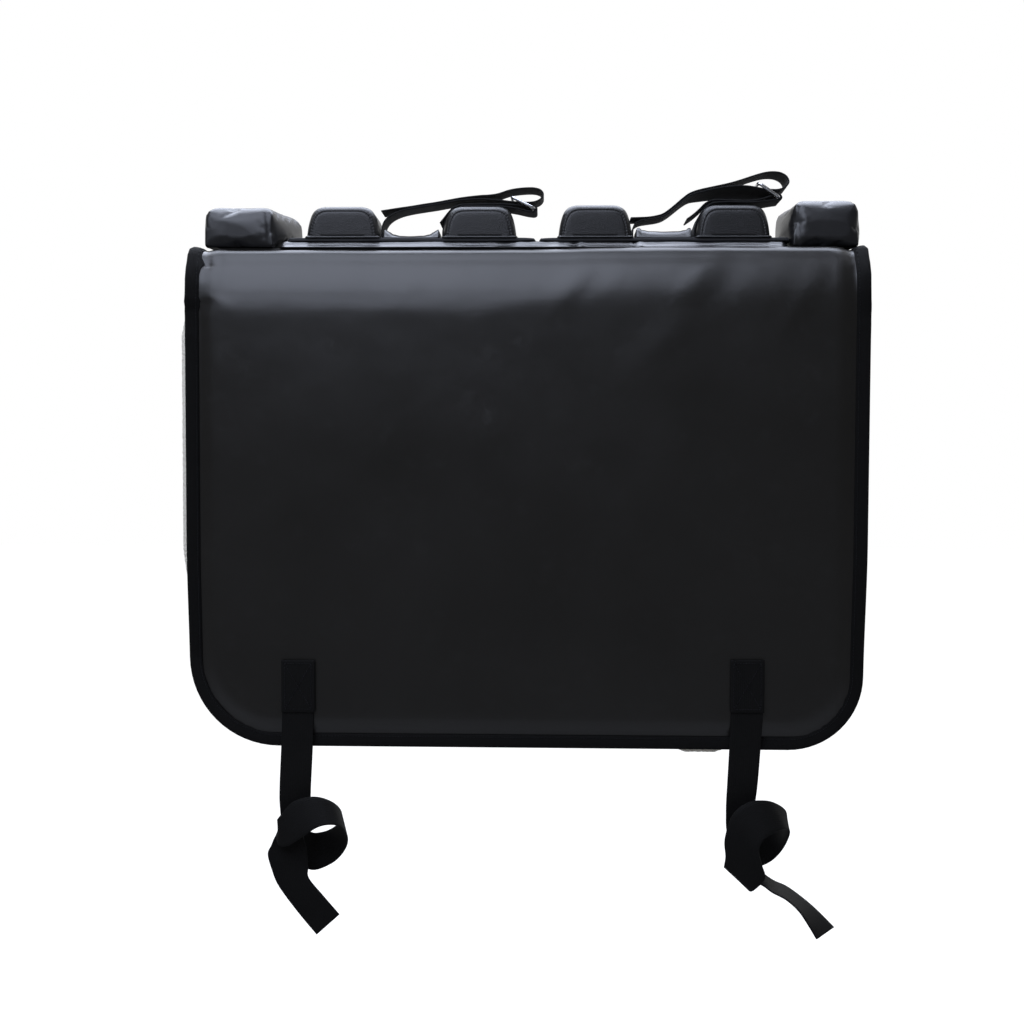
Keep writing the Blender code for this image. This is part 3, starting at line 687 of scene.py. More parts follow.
def pillow(low, high, corner, edge, gaps):
    """Flat rounded rectangle, cut finely round its edge; z is the way to the edge."""
    bm = bmesh.new()
    bm.faces.new([bm.verts.new((x, y, 0)) for x, y in (low, (high[0], low[1]), high, (low[0], high[1]))])
    steps = [edge * (1 - math.cos(math.pi / 2 * step / 9)) for step in range(1, 10)]
    lines = []
    for start, end, gap in zip(low, high, gaps):
        inside = spaced(start + edge, end - edge, gap)
        lines.append([start + step for step in steps] + [end - step for step in steps] + inside)
    slice_pattern(bm, *lines)
    for vert in bm.verts:
        centre = [(a + b) / 2 for a, b in zip(low, high)]
        ways = [(b - a) / 2 - abs(c - m) for a, b, c, m in zip(low, high, vert.co, centre)]
        nearest = min(ways)
        if max(ways) < corner:
            turn = (corner - max(ways)) / (corner - nearest) / 2
            angle = math.pi / 2 * (turn if ways[0] <= ways[1] else 1 - turn)
            reach = corner - nearest
            moved = (corner - reach * math.cos(angle), corner - reach * math.sin(angle))
            for axis in range(2):
                half = (high[axis] - low[axis]) / 2
                side = math.copysign(1, vert.co[axis] - centre[axis])
                vert.co[axis] = centre[axis] + side * (half - moved[axis])
        vert.co.z = max(0.0, nearest)
    return bm


def round_height(way, radius, height):
    """Height of a rounded edge at a distance from its foot."""
    share = min(1.0, way / radius)
    return height * math.sqrt(share * (2 - share))


SIDE_RADIUS = 20.3 * MM
SIDE_START = math.radians(20)


def strip_side(way):
    """Height of the deck strip's side: steep at its foot, sloping at its top."""
    lean = math.cos(SIDE_START) - min(way, 5 * MM) / SIDE_RADIUS
    top = SIDE_RADIUS * (math.sqrt(1 - lean * lean) - math.sin(SIDE_START))
    return min(PLINTH_HEIGHT, top)


def close_below(bm):
    """Give an open shell its flat underside."""
    rim = [edge for edge in bm.edges if edge.is_boundary]
    bmesh.ops.edgeloop_fill(bm, edges=rim)
    bmesh.ops.recalc_face_normals(bm, faces=bm.faces)


left, right = PLINTH_ENDS
low, high = PLINTH_REACH
bm = pillow((left, low), (right, high), 9 * MM, PLINTH_HEIGHT, (3.2 * MM, 8 * MM))
for vert in bm.verts:
    x, s, way = vert.co
    h = strip_side(way)
    front = crease(s, low, 12 * MM)
    slack = noise.noise((x * 26, s * 18, 4.0)) * 0.5 + noise.noise((x * 75, s * 60, 8.0)) * 0.22
    dents = crease(x, 57 * MM, 4 * MM) + crease(x, 128 * MM, 3 * MM) + 0.7 * crease(x, -26 * MM, 7 * MM)
    dents -= 0.6 * crease(x, 65 * MM, 4 * MM) + 0.6 * crease(x, 135 * MM, 3.5 * MM)
    h *= 1 + front * (slack * 0.12 - dents * 0.14)
    s -= front * (slack * 0.6 - dents * 1.4) * MM * min(1, h / (2 * MM))
    if x < 0:
        x += PLINTH_SKEW * (s - low) / (high - low) * rise_to(-x, 150 * MM, -left)
    vert.co = drape(x, s, PAD_TOP + GAP + max(0.0, min(h, PLINTH_HEIGHT)))
close_below(bm)
strip_dark = (0.004, 0.004, 0.0046)
strip_light = (0.007, 0.007, 0.008)
strip_finish = tarpaulin("strip_tarpaulin", strip_dark, strip_light, 0.30, False, 1.0)
strip = add_piece("deck_strip", bm, strip_finish, "tarpaulin", "plinth_cover", "plinth_foam")


# Cradle base plates
# Two thin boards in matt cloth, end to end, that carry the blocks.
# Their ends at the gap lift a little off the strip.

BASE_BOTTOM = 25.8 * MM
BASE_TOP = 29.8 * MM
BASE_HALF_WIDTH = 149 * MM
BASE_END_LIFT = 0.9 * MM
BASE_REACH = (-27.5 * MM, 44 * MM)
BAYS = (("left", -138 * MM), ("right", 164 * MM))


def matt_cloth(name, dark, light, roughness, pile):
    """Flat dark cloth with a short nap."""
    finish = Finish(material(name), Roughness=roughness, Specular_IOR_Level=0.3, Sheen_Weight=0.1)
    place = finish.place()
    nap = finish.noise(place, pile, 4.0, 0.65)
    lint = finish.noise(place, 60.0, 6.0, 0.7)
    return finish.shade(
        Base_Color=finish.between(dark, light, nap * 0.6 + lint * 0.4),
        Roughness=nap * 0.1 + (roughness - 0.05),
        Normal=finish.bump(nap, 0.3 * MM, 0.6),
    )


base_finish = matt_cloth("base_cloth", (0.0055, 0.0055, 0.0065), (0.014, 0.014, 0.016), 0.66, 1300.0)
for side, bay in BAYS:
    low, high = BASE_REACH
    corners = (bay - BASE_HALF_WIDTH, low), (bay + BASE_HALF_WIDTH, high)
    bm = pillow(*corners, 6 * MM, 1.2 * MM, (6 * MM, 12 * MM))
    gap_end = bay - math.copysign(BASE_HALF_WIDTH, bay)
    for vert in bm.verts:
        near_gap = crease(vert.co.x, gap_end, 11 * MM)
        height = round_height(vert.co.z, 1.2 * MM, BASE_TOP - BASE_BOTTOM)
        level = height * (1 - 0.35 * near_gap)
        if height > 0:
            level += 0.35 * MM * noise.noise((vert.co.x * 30, vert.co.y * 30, 2.0))
        vert.co.z = BASE_BOTTOM + BASE_END_LIFT * near_gap + level
    close_below(bm)
    add_piece("base_" + side, bm, base_finish, "base_board", "cradle_base_" + side)


# Foam blocks
# Four firm blocks in grained vinyl. A gusset runs over each block from side to
# side, a flat panel closes each end, and the foot has a sewn flange.

SEAT = 30.1 * MM
BLOCK_Y = 6 * MM
BLOCK_HALF_DEPTH = 33 * MM
CAP_DEPTH = 7
BLOCK_HALF_WIDTH = 44
BLOCK_HEIGHT = 36.5
FLANGE_REACH = (45.6 * MM, 35.4 * MM)
FLANGE_HEIGHT = 2.2 * MM

# Side of a block: height and half width, in mm
BLOCK_OUTLINE = (
    (0.0, 44.0), (5.7, 43.5), (15.7, 41.8), (25.2, 38.9),
    (30.7, 35.6), (34.2, 31.0), (36.1, 24.5), (36.5, 15.0),
)

# Rounding of a block's end: inset, distance out and depth of the puckers, in mm
CAP_ROUNDING = (
    (0.5, 2.0, 0), (1.2, 3.8, 0), (2.0, 5.2, 0), (3.0, 6.4, 0.05), (3.9, 7.2, 0.1),
    (4.8, 7.8, 0.2), (5.6, 8.1, 0.25), (6.2, 7.8, 0.3), (6.8, 7.6, 0.2), (7.6, 8.1, 0.1),
    (9, 8.3, 0), (12, 8.4, 0), (17, 8.5, 0),
)


def smooth_path(points, steps):
    """Points of a curve that passes through each given point."""
    path = []
    last = len(points) - 1
    for i in range(last):
        here, there = points[i], points[i + 1]
        leave = (there - points[max(i - 1, 0)]) * 0.5
        arrive = (points[min(i + 2, last)] - here) * 0.5
        for step in range(steps):
            t = step / steps
            cubic = (here - there) * 2 + leave + arrive
            square = (there - here) * 3 - leave * 2 - arrive
            path.append(cubic * t ** 3 + square * t ** 2 + leave * t + here)
    path.append(points[last])
    return path


def even_path(points, gap):
    """The same line with evenly spaced points."""
    total = sum((b - a).length for a, b in zip(points, points[1:]))
    count = max(1, round(total / gap))
    placed = [points[0].copy()]
    travelled, wanted = 0.0, total / count
    for first, second in zip(points, points[1:]):
        length = (second - first).length
        while len(placed) < count and travelled + length >= wanted * len(placed) - 1e-12:
            t = (wanted * len(placed) - travelled) / length
            placed.append(first.lerp(second, t))
        travelled += length
    placed.append(points[-1].copy())
    return placed


def grained_vinyl(name):
    """Leather-like coating: small pebbles with fine creases between them."""
    finish = Finish(material(name), Roughness=0.3, Specular_IOR_Level=0.45)
    place = finish.place()
    shift = finish.noise(place, 300.0, 2.0) * 0.0012
    bent = finish.node("VectorMath", {"operation": "ADD"}, {0: place, 1: shift})
    pebble = finish.node("TexVoronoi", {"feature": "DISTANCE_TO_EDGE"}, {"Vector": bent, "Scale": 620.0})
    groove = finish.node("MapRange", {}, {0: pebble, 1: 0.0, 2: 0.25})
    cloud = finish.noise(place, 30.0, 4.0)
    dark = (0.0018, 0.0018, 0.0022)
    light = (0.0044, 0.0044, 0.0052)
    # The creases between the pebbles are painted darker: painted shade. The cloud varies the tone at
    # random.
    return finish.shade(
        Base_Color=finish.between(dark, light, groove * 0.5 + cloud * 0.5),
        Roughness=0.43 - groove * 0.12 + cloud * 0.05,
        Normal=finish.bump(groove, 0.12 * MM, 0.6),
    )


vinyl_finish = grained_vinyl("grained_vinyl")


def add_block(name, centre, rise):
    """Block with its long arch from side to side, two puffed ends and a flange."""
    side = [Vector((half * MM, 0, level * MM)) for level, half in BLOCK_OUTLINE]
    arch = smooth_path(side + [Vector((-p.x, 0, p.z)) for p in reversed(side)], 6)
    arch = even_path(arch, 1.15 * MM)
    foot = even_path([arch[-1], arch[0]], 1.15 * MM)[1:-1]
    bm = bmesh.new()
    front = BLOCK_Y - (BLOCK_HALF_DEPTH - CAP_DEPTH * MM)
    first = bm.faces.new([bm.verts.new((centre + p.x, front, SEAT + p.z)) for p in arch + foot])
    made = bmesh.ops.extrude_face_region(bm, geom=[first], use_keep_orig=True)["geom"]
    second = next(part for part in made if isinstance(part, bmesh.types.BMFace))
    for vert in second.verts:
        vert.co.y = 2 * BLOCK_Y - front
    spans = [edge for edge in bm.edges if abs(edge.verts[0].co.y - edge.verts[1].co.y) > 10 * MM]
    bmesh.ops.subdivide_edges(bm, edges=spans, cuts=9)
    caps = [(-1, first), (1, second)]
    for direction, face in caps:
        before = 0
        for inset, out, pucker in CAP_ROUNDING:
            face = bmesh.ops.extrude_discrete_faces(bm, faces=[face])["faces"][0]
            for number, vert in enumerate(face.verts):
                wave = math.sin(number * math.tau / 3.4 + 3 * noise.noise(vert.co * 60))
                narrowing = (BLOCK_HALF_WIDTH - inset) / (BLOCK_HALF_WIDTH - before)
                lowering = (BLOCK_HEIGHT - inset) / (BLOCK_HEIGHT - before)
                depth = BLOCK_HALF_DEPTH + (out - CAP_DEPTH + pucker * wave) * MM
                vert.co.x = centre + (vert.co.x - centre) * narrowing
                vert.co.y = BLOCK_Y + direction * depth
                vert.co.z = SEAT + (vert.co.z - SEAT) * lowering
            before = inset
        flat = [face] + face.verts[:] + face.edges[:]
        for step in range(-6, 7):
            place = (centre + step * 4 * MM, 0, 0)
            cut = bmesh.ops.bisect_plane(bm, geom=flat, dist=1e-6, plane_co=place, plane_no=(1, 0, 0))
            flat = cut["geom"]
        for step in range(1, 6):
            place = (0, 0, SEAT + step * 4 * MM)
            cut = bmesh.ops.bisect_plane(bm, geom=flat, dist=1e-6, plane_co=place, plane_no=(0, 0, 1))
            flat = cut["geom"]
    for vert in bm.verts:
        vert.co.z = SEAT + (vert.co.z - SEAT) * rise
    bmesh.ops.recalc_face_normals(bm, faces=bm.faces)
    reach_x, reach_y = FLANGE_REACH
    corners = (centre - reach_x, BLOCK_Y - reach_y), (centre + reach_x, BLOCK_Y + reach_y)
    flange = pillow(*corners, 5 * MM, FLANGE_HEIGHT, (1.3 * MM, 1.3 * MM))
    for vert in flange.verts:
        height = round_height(vert.co.z, FLANGE_HEIGHT, FLANGE_HEIGHT)
        if height > MM:
            height += 0.2 * MM * math.sin(vert.co.x / (0.62 * MM)) * math.cos(vert.co.y / (0.62 * MM))
        vert.co.z = SEAT - 0.2 * MM + height
    close_below(flange)
    mesh = mesh_of("flange", flange)
    bm.from_mesh(mesh)
    bpy.data.meshes.remove(mesh)
    nodes = ("block_cover_" + name, "block_foam_" + name)
    block = add_piece("block_" + name, bm, vinyl_finish, "grained_vinyl", *nodes)


BLOCK_SPACING = 82 * MM
BLOCK_RISES = (1.03, 1.07)
for (side, bay), rise in zip(BAYS, BLOCK_RISES):
    outward = math.copysign(BLOCK_SPACING, bay)
    add_block(side + "_outer", bay + outward, rise)
    add_block(side + "_inner", bay - outward, rise)


# Saddle pads
# A low soft pad between the blocks of a pair, where a frame tube rests.
# Its ends turn up against the blocks, with a seam across each.

SADDLE_HALF_LENGTH = 34.2 * MM
SADDLE_HALF_DEPTH = 31 * MM

# Profile of each saddle: share of the half length and height in mm
SADDLE_PROFILES = (
    ((0.0, 2.8), (0.4, 3.0), (0.62, 4.6), (0.82, 8.6), (0.95, 10.8), (1.0, 9.5)),
    ((0.0, 7.7), (0.5, 8.1), (0.72, 9.4), (0.87, 12.0), (0.97, 11.4), (1.0, 9.5)),
)


def saddle_top(profile, reach):
    """Height of a saddle at a share of its half length."""
    for (r0, t0), (r1, t1) in zip(profile, profile[1:]):
        if reach <= r1:
            t = (reach - r0) / (r1 - r0)
            return t0 + (t1 - t0) * t * t * (3 - 2 * t)
    return profile[-1][1]


for (side, bay), profile in zip(BAYS, SADDLE_PROFILES):
    reach_x, reach_y = SADDLE_HALF_LENGTH, SADDLE_HALF_DEPTH
    bm = pillow((-reach_x, -reach_y), (reach_x, reach_y), 3 * MM, 2.8 * MM, (1.6 * MM, 1.6 * MM))
    for vert in bm.verts:
        x, y, way = vert.co
        reach = abs(x) / SADDLE_HALF_LENGTH
        top = saddle_top(profile, reach) - 0.9 * crease(reach, 0.79, 0.025)
        top += 0.35 * noise.noise((x * 60 + bay * 9, y * 40, 6.0))
        front_way = reach_y - abs(y)
        top *= min(1, 0.25 + 0.75 * front_way / (5.5 * MM))
        height = min(top * MM, round_height(way, 2.8 * MM, top * MM))
        vert.co = (bay + x, BLOCK_Y + y, SEAT + GAP + height)
    close_below(bm)
    saddle = add_piece("saddle_pad_" + side, bm, strip_finish, "tarpaulin", "saddle_" + side)


# End bolsters
# Two stuffed tarpaulin boxes that keep a bicycle from sliding off the ends.
# Each is sewn from flat panels and swells between its seams.

# Bolsters: ends in x, top, and how far the back of the inner side is skewed
BOLSTERS = (
    ("left", -386.5 * MM, -302 * MM, 66.8 * MM, 22 * MM),
    ("right", 315 * MM, 394 * MM, 74 * MM, -8 * MM),
)
BOLSTER_REACH = (-33 * MM, 55 * MM)
BOLSTER_ROUND = 13 * MM
SEAM_INSET = 6 * MM


def deck_height(y):
    """Height of the cover's outer face over a point of the deck."""
    outline = [drape(0, s, PAD_TOP) for s, _, _ in STATIONS]
    for low, high in zip(outline, outline[1:]):
        if low.y <= y <= high.y:
            return low.z + (high.z - low.z) * (y - low.y) / (high.y - low.y)
    return outline[-1].z


def inflate(bm, voxel, pressure, cap):
    """Remesh a closed shape, let pressure swell it, and keep the swelling low."""
    bmesh.ops.recalc_face_normals(bm, faces=bm.faces)
    body = put("swelling", mesh_of("swelling", bm))
    remesh = body.modifiers.new("remesh", "REMESH")
    remesh.mode = "VOXEL"
    remesh.voxel_size = voxel
    graph = bpy.context.evaluated_depsgraph_get()
    mesh = bpy.data.meshes.new_from_object(body.evaluated_get(graph))
    body.modifiers.clear()
    body.data = mesh
    rest = [vert.co.copy() for vert in mesh.vertices]
    cloth = body.modifiers.new("cloth", "CLOTH")
    cloth.settings.quality = 6
    cloth.settings.use_pressure = True
    cloth.settings.uniform_pressure_force = pressure
    cloth.settings.effector_weights.gravity = 0
    cloth.settings.tension_stiffness = 15
    cloth.settings.bending_stiffness = 0.5
    for number in range(1, 21):
        bpy.context.scene.frame_set(number)
    graph = bpy.context.evaluated_depsgraph_get()
    swollen = bpy.data.meshes.new_from_object(body.evaluated_get(graph))
    body.modifiers.clear()
    body.data = swollen
    bpy.context.scene.frame_set(1)
    made = bmesh.new()
    made.from_mesh(body.data)
    made.verts.ensure_lookup_table()
    for vert, before in zip(made.verts, rest):
        move = vert.co - before
        if move.length > cap:
            vert.co = before + move * (cap / move.length)
    bpy.data.objects.remove(body)
    bmesh.ops.subdivide_edges(made, edges=made.edges[:], cuts=1, use_grid_fill=True, smooth=0.6)
    return made


bolster_dark = (0.0045, 0.0045, 0.0052)
bolster_light = (0.008, 0.008, 0.0092)
bolster_finish = tarpaulin("bolster_tarpaulin", bolster_dark, bolster_light, 0.34, False)
for side, low_x, high_x, top, skew in BOLSTERS:
    bm = bmesh.new()
    inner = -1 if side == "right" else 1
    low_y, high_y = BOLSTER_REACH
    foot = PAD_TOP - 1 * MM
    shrink = 0.5 * MM
    size = (high_x - low_x - 2 * shrink, high_y - low_y - 2 * shrink, top - foot - shrink)
    bmesh.ops.create_cube(bm, size=1)
    bmesh.ops.scale(bm, vec=size, verts=bm.verts)
    middle_x, middle_y = (low_x + high_x) / 2, (low_y + high_y) / 2
    bmesh.ops.translate(bm, vec=(middle_x, middle_y, foot + size[2] / 2), verts=bm.verts)
    for vert in bm.verts:
        if vert.co.z > foot + 10 * MM:
            vert.co.x += 1.5 * MM if vert.co.x < middle_x else -1.5 * MM
            vert.co.y += 1 * MM if vert.co.y < middle_y else -3 * MM
        if (vert.co.x - middle_x) * inner > 0 and vert.co.y > middle_y:
            vert.co.x += skew
    upper_edges = [edge for edge in bm.edges if min(v.co.z for v in edge.verts) > foot + 10 * MM]
    bmesh.ops.bevel(
        bm, geom=upper_edges, offset=BOLSTER_ROUND, segments=5, profile=0.5,
        affect="EDGES", material=-1,
    )
    bm = inflate(bm, 4 * MM, 6.0, 6 * MM)
    seam_x = (low_x if inner < 0 else high_x) - inner * SEAM_INSET
    for vert in bm.verts:
        x, y, z = vert.co
        if y < low_y + 16 * MM:
            line = seam_x - inner * 3 * MM * max(0, (z - foot) / (top - foot)) ** 2
            near = crease(x, line, 2.6 * MM)
            pucker = 0.5 + 0.5 * math.sin(z / (1.35 * MM))
            pucker *= rise_to(z, top - 18 * MM, top - 5 * MM)
            vert.co.y += near * (1.1 + 0.6 * pucker) * MM
            beyond = crease(x, line - inner * 7 * MM, 7 * MM)
            vert.co.y += beyond * 0.7 * MM * noise.noise((x * 90, z * 120, 1.0))
        floor = (deck_height(y) if y > low_y else PAD_TOP) + GAP
        vert.co.z = max(vert.co.z, floor)
        vert.co.z = min(vert.co.z, top)
        vert.co.y = max(low_y - 1.5 * MM, min(high_y + 1.5 * MM, vert.co.y))
    bmesh.ops.recalc_face_normals(bm, faces=bm.faces)
    nodes = ("bolster_cover_" + side, "bolster_foam_" + side)
    bolster = add_piece("bolster_" + side, bm, bolster_finish, "tarpaulin", *nodes)


# Cradle straps and ring straps
# Hook-and-loop straps sewn down between saddle and block. The long one runs
# through the ring that the short one holds, and lies slack over the block.

WEBBING_WIDTH = 38 * MM
CRADLE_STRAP_THICKNESS = 1.6 * MM

# Middle line of each strap: x from the bay's centre and z, in mm
CRADLE_STRAP_LEFT = (
    (-36.6, 30.5), (-36.4, 44), (-33.2, 52.5), (-26, 59.2), (-15, 64.2), (-1.4, 67.4),
    (14, 69.9), (28.7, 72.1), (44.8, 75.0), (61, 77.6), (81.7, 78.6), (100, 77.6), (116, 75.6),
    (127, 74.6), (138, 74.2), (148, 75.2), (155, 78.8), (157.8, 84), (154.5, 89), (147, 91.3),
    (137, 91.4), (126, 90.4), (116, 88.5), (104, 84.6), (93, 82.9), (81.7, 82.3), (61, 80.0),
    (44.8, 77.2), (28.7, 74.3), (14, 72.1), (-1.4, 69.6), (-15, 67.7), (-26, 66.0),
    (-37.7, 64.2),
)
RING_STRAP_FOOT = (
    (37, 30.5), (37, 40), (39.1, 47.5), (42.6, 56), (47.6, 62.4), (52.8, 66.3), (60, 68.5),
    (72, 68.7), (88, 68.7),
)
RING_STRAP_LEFT = (
    *RING_STRAP_FOOT, (104, 68.7), (116, 68.4), (128, 66.6), (138, 64.4), (146, 63.35),
    (149.3, 64.3), (150.15, 66.5), (149.3, 68.7), (146, 69.65), (138, 69.9), (128, 70.3),
    (116, 70.9), (104, 71.0), (88, 71.0), (72, 71.0), (59, 70.9), (50, 68.0), (44, 62.6),
    (39, 56.4), (33.6, 49.7),
)
CRADLE_STRAP_RIGHT = (
    (-36.6, 30.5), (-36.5, 41), (-34.2, 48), (-28, 52.2), (-17.5, 54.2), (-8, 55.6),
    (0.5, 58.2), (9, 63.8), (17.6, 71.1), (26, 78.3), (34, 83.5), (45, 86.6), (57.4, 89.7),
    (68, 91.6), (82, 93.4), (96, 93.6), (106, 92.5), (115, 90.8), (125, 89.3), (136, 89.0),
    (144.5, 91.7), (149.2, 97.5), (146.5, 104.5), (139, 108.8), (130, 109.9), (121, 109.0),
    (113, 107.0), (104, 104.2), (93, 100.6), (80, 96.8), (67.4, 94.0), (56.9, 91.8), (44, 89.0),
    (32.6, 85.3), (24.4, 79.9), (16, 72.7), (7.4, 65.6), (-0.7, 60.2), (-9, 57.8),
    (-17.8, 56.4), (-28, 55.9), (-39.2, 55.6),
)
RING_STRAP_RIGHT = (
    *RING_STRAP_FOOT, (102, 69.2), (116, 71.4), (128, 74.1), (136, 75.9), (139.9, 76.9),
    (140.9, 79.5), (139.5, 82.0), (136, 82.5), (127, 79.5), (116, 75.2), (102, 72.0),
    (88, 71.0), (72, 71.0), (59, 70.9), (50, 68.0), (43.5, 63.0), (36, 57.6), (28.1, 52.8),
)


def strap_between(one_edge, other_edge, cuts):
    """Flat strap between its two long edges, with its place along it kept."""
    bm = bmesh.new()
    layer = bm.verts.layers.float_vector.new("band")
    row = [bm.verts.new(point) for point in one_edge]
    edges = [bm.edges.new(pair) for pair in zip(row, row[1:])]
    made = bmesh.ops.extrude_edge_only(bm, edges=edges)["geom"]
    twins = {tuple(part.co): part for part in made if isinstance(part, bmesh.types.BMVert)}
    opposite = [twins[tuple(vert.co)] for vert in row]
    along = 0.0
    rungs = []
    for number, (vert, twin) in enumerate(zip(row, opposite)):
        if number:
            first = (one_edge[number - 1] + other_edge[number - 1]) / 2
            along += ((one_edge[number] + other_edge[number]) / 2 - first).length
        twin.co = other_edge[number]
        width = (other_edge[number] - one_edge[number]).length
        vert[layer] = (-width / 2, along, 0)
        twin[layer] = (width / 2, along, 0)
        rungs.append(bm.edges.get((vert, twin)))
    bmesh.ops.subdivide_edges(bm, edges=rungs, cuts=cuts)
    write_band_uv(bm, layer)
    return bm


def side_on_strap(path_mm, bay, rolls):
    """Cradle strap drawn from the side, as x from the bay's centre and z.

    Each roll is the number of a point on the path, how many points it reaches
    and how far the front and the back edge rise there, in mm.
    """
    path = smooth_path([Vector((bay + x * MM, 0, z * MM)) for x, z in path_mm], 4)
    half = Vector((0, WEBBING_WIDTH / 2, 0))
    middle = Vector((0, BLOCK_Y, 0))
    front = [point + middle - half for point in path]
    back = [point + middle + half for point in path]
    for index, reach, front_rise, back_rise in rolls:
        for number in range(len(path)):
            share = math.exp(-((number / 4 - index) / reach) ** 2)
            front[number].z += front_rise * MM * share
            back[number].z += back_rise * MM * share
    return strap_between(front, back, 7)


nap_finish = matt_cloth("loop_pile", (0.0035, 0.0035, 0.004), (0.010, 0.010, 0.011), 0.85, 1700.0)
STRAPS = (
    ("left", "long", "cradle", CRADLE_STRAP_LEFT, ()),
    ("left", "short", "ring", RING_STRAP_LEFT, ((7.5, 2.5, 1.5, 1.0), (21.5, 3, 1.5, 1.0))),
    ("right", "long", "cradle", CRADLE_STRAP_RIGHT, ((14.7, 4.5, 0, -9),)),
    ("right", "short", "ring", RING_STRAP_RIGHT, ((7.5, 3.6, 6.0, 3.0), (21.3, 3.6, 6.0, 3.0))),
)
for side, name, node, path_mm, rolls in STRAPS:
    bm = side_on_strap(path_mm, dict(BAYS)[side], rolls)
    strap = add_piece(name + "_strap_" + side, bm, nap_finish, "hook_and_loop", node + "_strap_" + side)
    add_wall(strap, CRADLE_STRAP_THICKNESS, 0, 0.4 * MM)


# Strap rings
# Plated wire bent to a rounded oblong and welded shut.

# Near and far bar of each ring: x from the bay's centre and z, in mm
RING_BARS = {
    "left": ((120.5, 80.0), (147.0, 66.5)),
    "right": ((113.0, 96.0), (137.5, 79.2)),
}
WIRE_RADIUS = 2 * MM


def rounded_outline(corners, radius, segments):
    """Points of a flat outline whose corners are rounded."""
    bm = bmesh.new()
    bm.faces.new([bm.verts.new(corner) for corner in corners])
    bmesh.ops.bevel(
        bm, geom=bm.verts[:], offset=radius, segments=segments, profile=0.5,
        affect="VERTICES", material=-1,
    )
    points = [vert.co.copy() for vert in next(iter(bm.faces)).verts]
    bm.free()
    return points


def plated_steel(name):
    """Bright plating, rubbed dull in places."""
    finish = Finish(material(name), Roughness=0.22, Metallic=1.0)
    place = finish.place()
    rub = finish.noise(place, 90.0, 5.0, 0.6)
    return finish.shade(
        Base_Color=finish.between((0.50, 0.51, 0.53), (0.72, 0.73, 0.75), rub),
        Roughness=rub * 0.2 + 0.12,
        Normal=finish.bump(finish.noise(place, 800.0, 2.0), 0.05 * MM, 0.3),
    )


steel_finish = plated_steel("plated_steel")
for side, bay in BAYS:
    near, far = RING_BARS[side]
    near_bar = Vector((bay + near[0] * MM, BLOCK_Y, near[1] * MM))
    slope = Vector((bay + far[0] * MM, BLOCK_Y, far[1] * MM)) - near_bar
    length = slope.length
    slope.normalize()
    across = Vector((0, 1, 0))
    upright = slope.cross(across)
    half = WEBBING_WIDTH / 2 + 0.6 * MM + WIRE_RADIUS
    corners = [(0, -half, 0), (length, -half, 0), (length, half, 0), (0, half, 0)]
    outline = rounded_outline(corners, 4.5 * MM, 8)
    line = [near_bar + slope * point.x + across * point.y for point in outline]
    curve = bpy.data.curves.new("wire", "CURVE")
    curve.dimensions = "3D"
    spline = curve.splines.new("POLY")
    spline.points.add(len(line) - 1)
    for point, place in zip(spline.points, line):
        point.co = (*place, 1)
    spline.use_cyclic_u = True
    curve.bevel_depth = WIRE_RADIUS
    curve.bevel_resolution = 5
    wire = put("wire", curve)
    bm = bmesh.new()
    graph = bpy.context.evaluated_depsgraph_get()
    bm.from_mesh(wire.evaluated_get(graph).to_mesh())
    bpy.data.objects.remove(wire)
    bmesh.ops.recalc_face_normals(bm, faces=bm.faces)
    add_piece("ring_" + side, bm, steel_finish, "steel", "strap_ring_" + side)


# Bottom straps
# Two lengths of 38 mm webbing under sewn patches, each in a loose overhand loop
# with a free tail; they tie round the tailgate's underside.

WEBBING_THICKNESS = 1.8 * MM

# The two long edges of each strap, from its top end to its tail, in mm
KNOT_LEFT = (
    ((-286, -69, -474), (-248.4, -69, -474)),
    ((-286.6, -69, -530), (-249, -69, -530)),
    ((-288, -69, -575), (-250.4, -69, -575)),
    ((-290, -69.5, -621), (-252.6, -69.5, -621)),
    ((-290, -69, -647), (-254, -67, -649)),
    ((-287, -62, -680), (-258, -57, -676)),
    ((-275, -53, -714), (-256, -48, -684)),
    ((-256, -49, -730), (-250, -40, -687)),
    ((-231, -50, -721), (-237, -38, -684)),
    ((-215, -58, -703), (-224, -48, -673)),
    ((-209, -72, -684), (-218, -62, -656)),
    ((-213, -88, -667), (-223, -78, -641)),
    ((-223, -96, -661), (-237, -85, -632)),
    ((-239, -99, -663), (-253, -86, -631)),
    ((-258, -98, -675), (-271, -87, -637)),
    ((-274, -95, -686), (-284, -88, -651)),
    ((-286, -91, -688), (-289, -86, -658)),
    ((-292, -85, -681), (-283, -80, -655)),
    ((-298, -82, -691), (-267, -76, -668)),
    ((-302, -82, -701), (-258, -76, -692)),
    ((-297, -82, -720), (-255, -77, -717)),
    ((-289, -82, -739), (-254, -78, -730)),
    ((-268, -80, -769), (-237, -78, -751)),
    ((-245, -78, -798), (-218, -76, -774)),
)
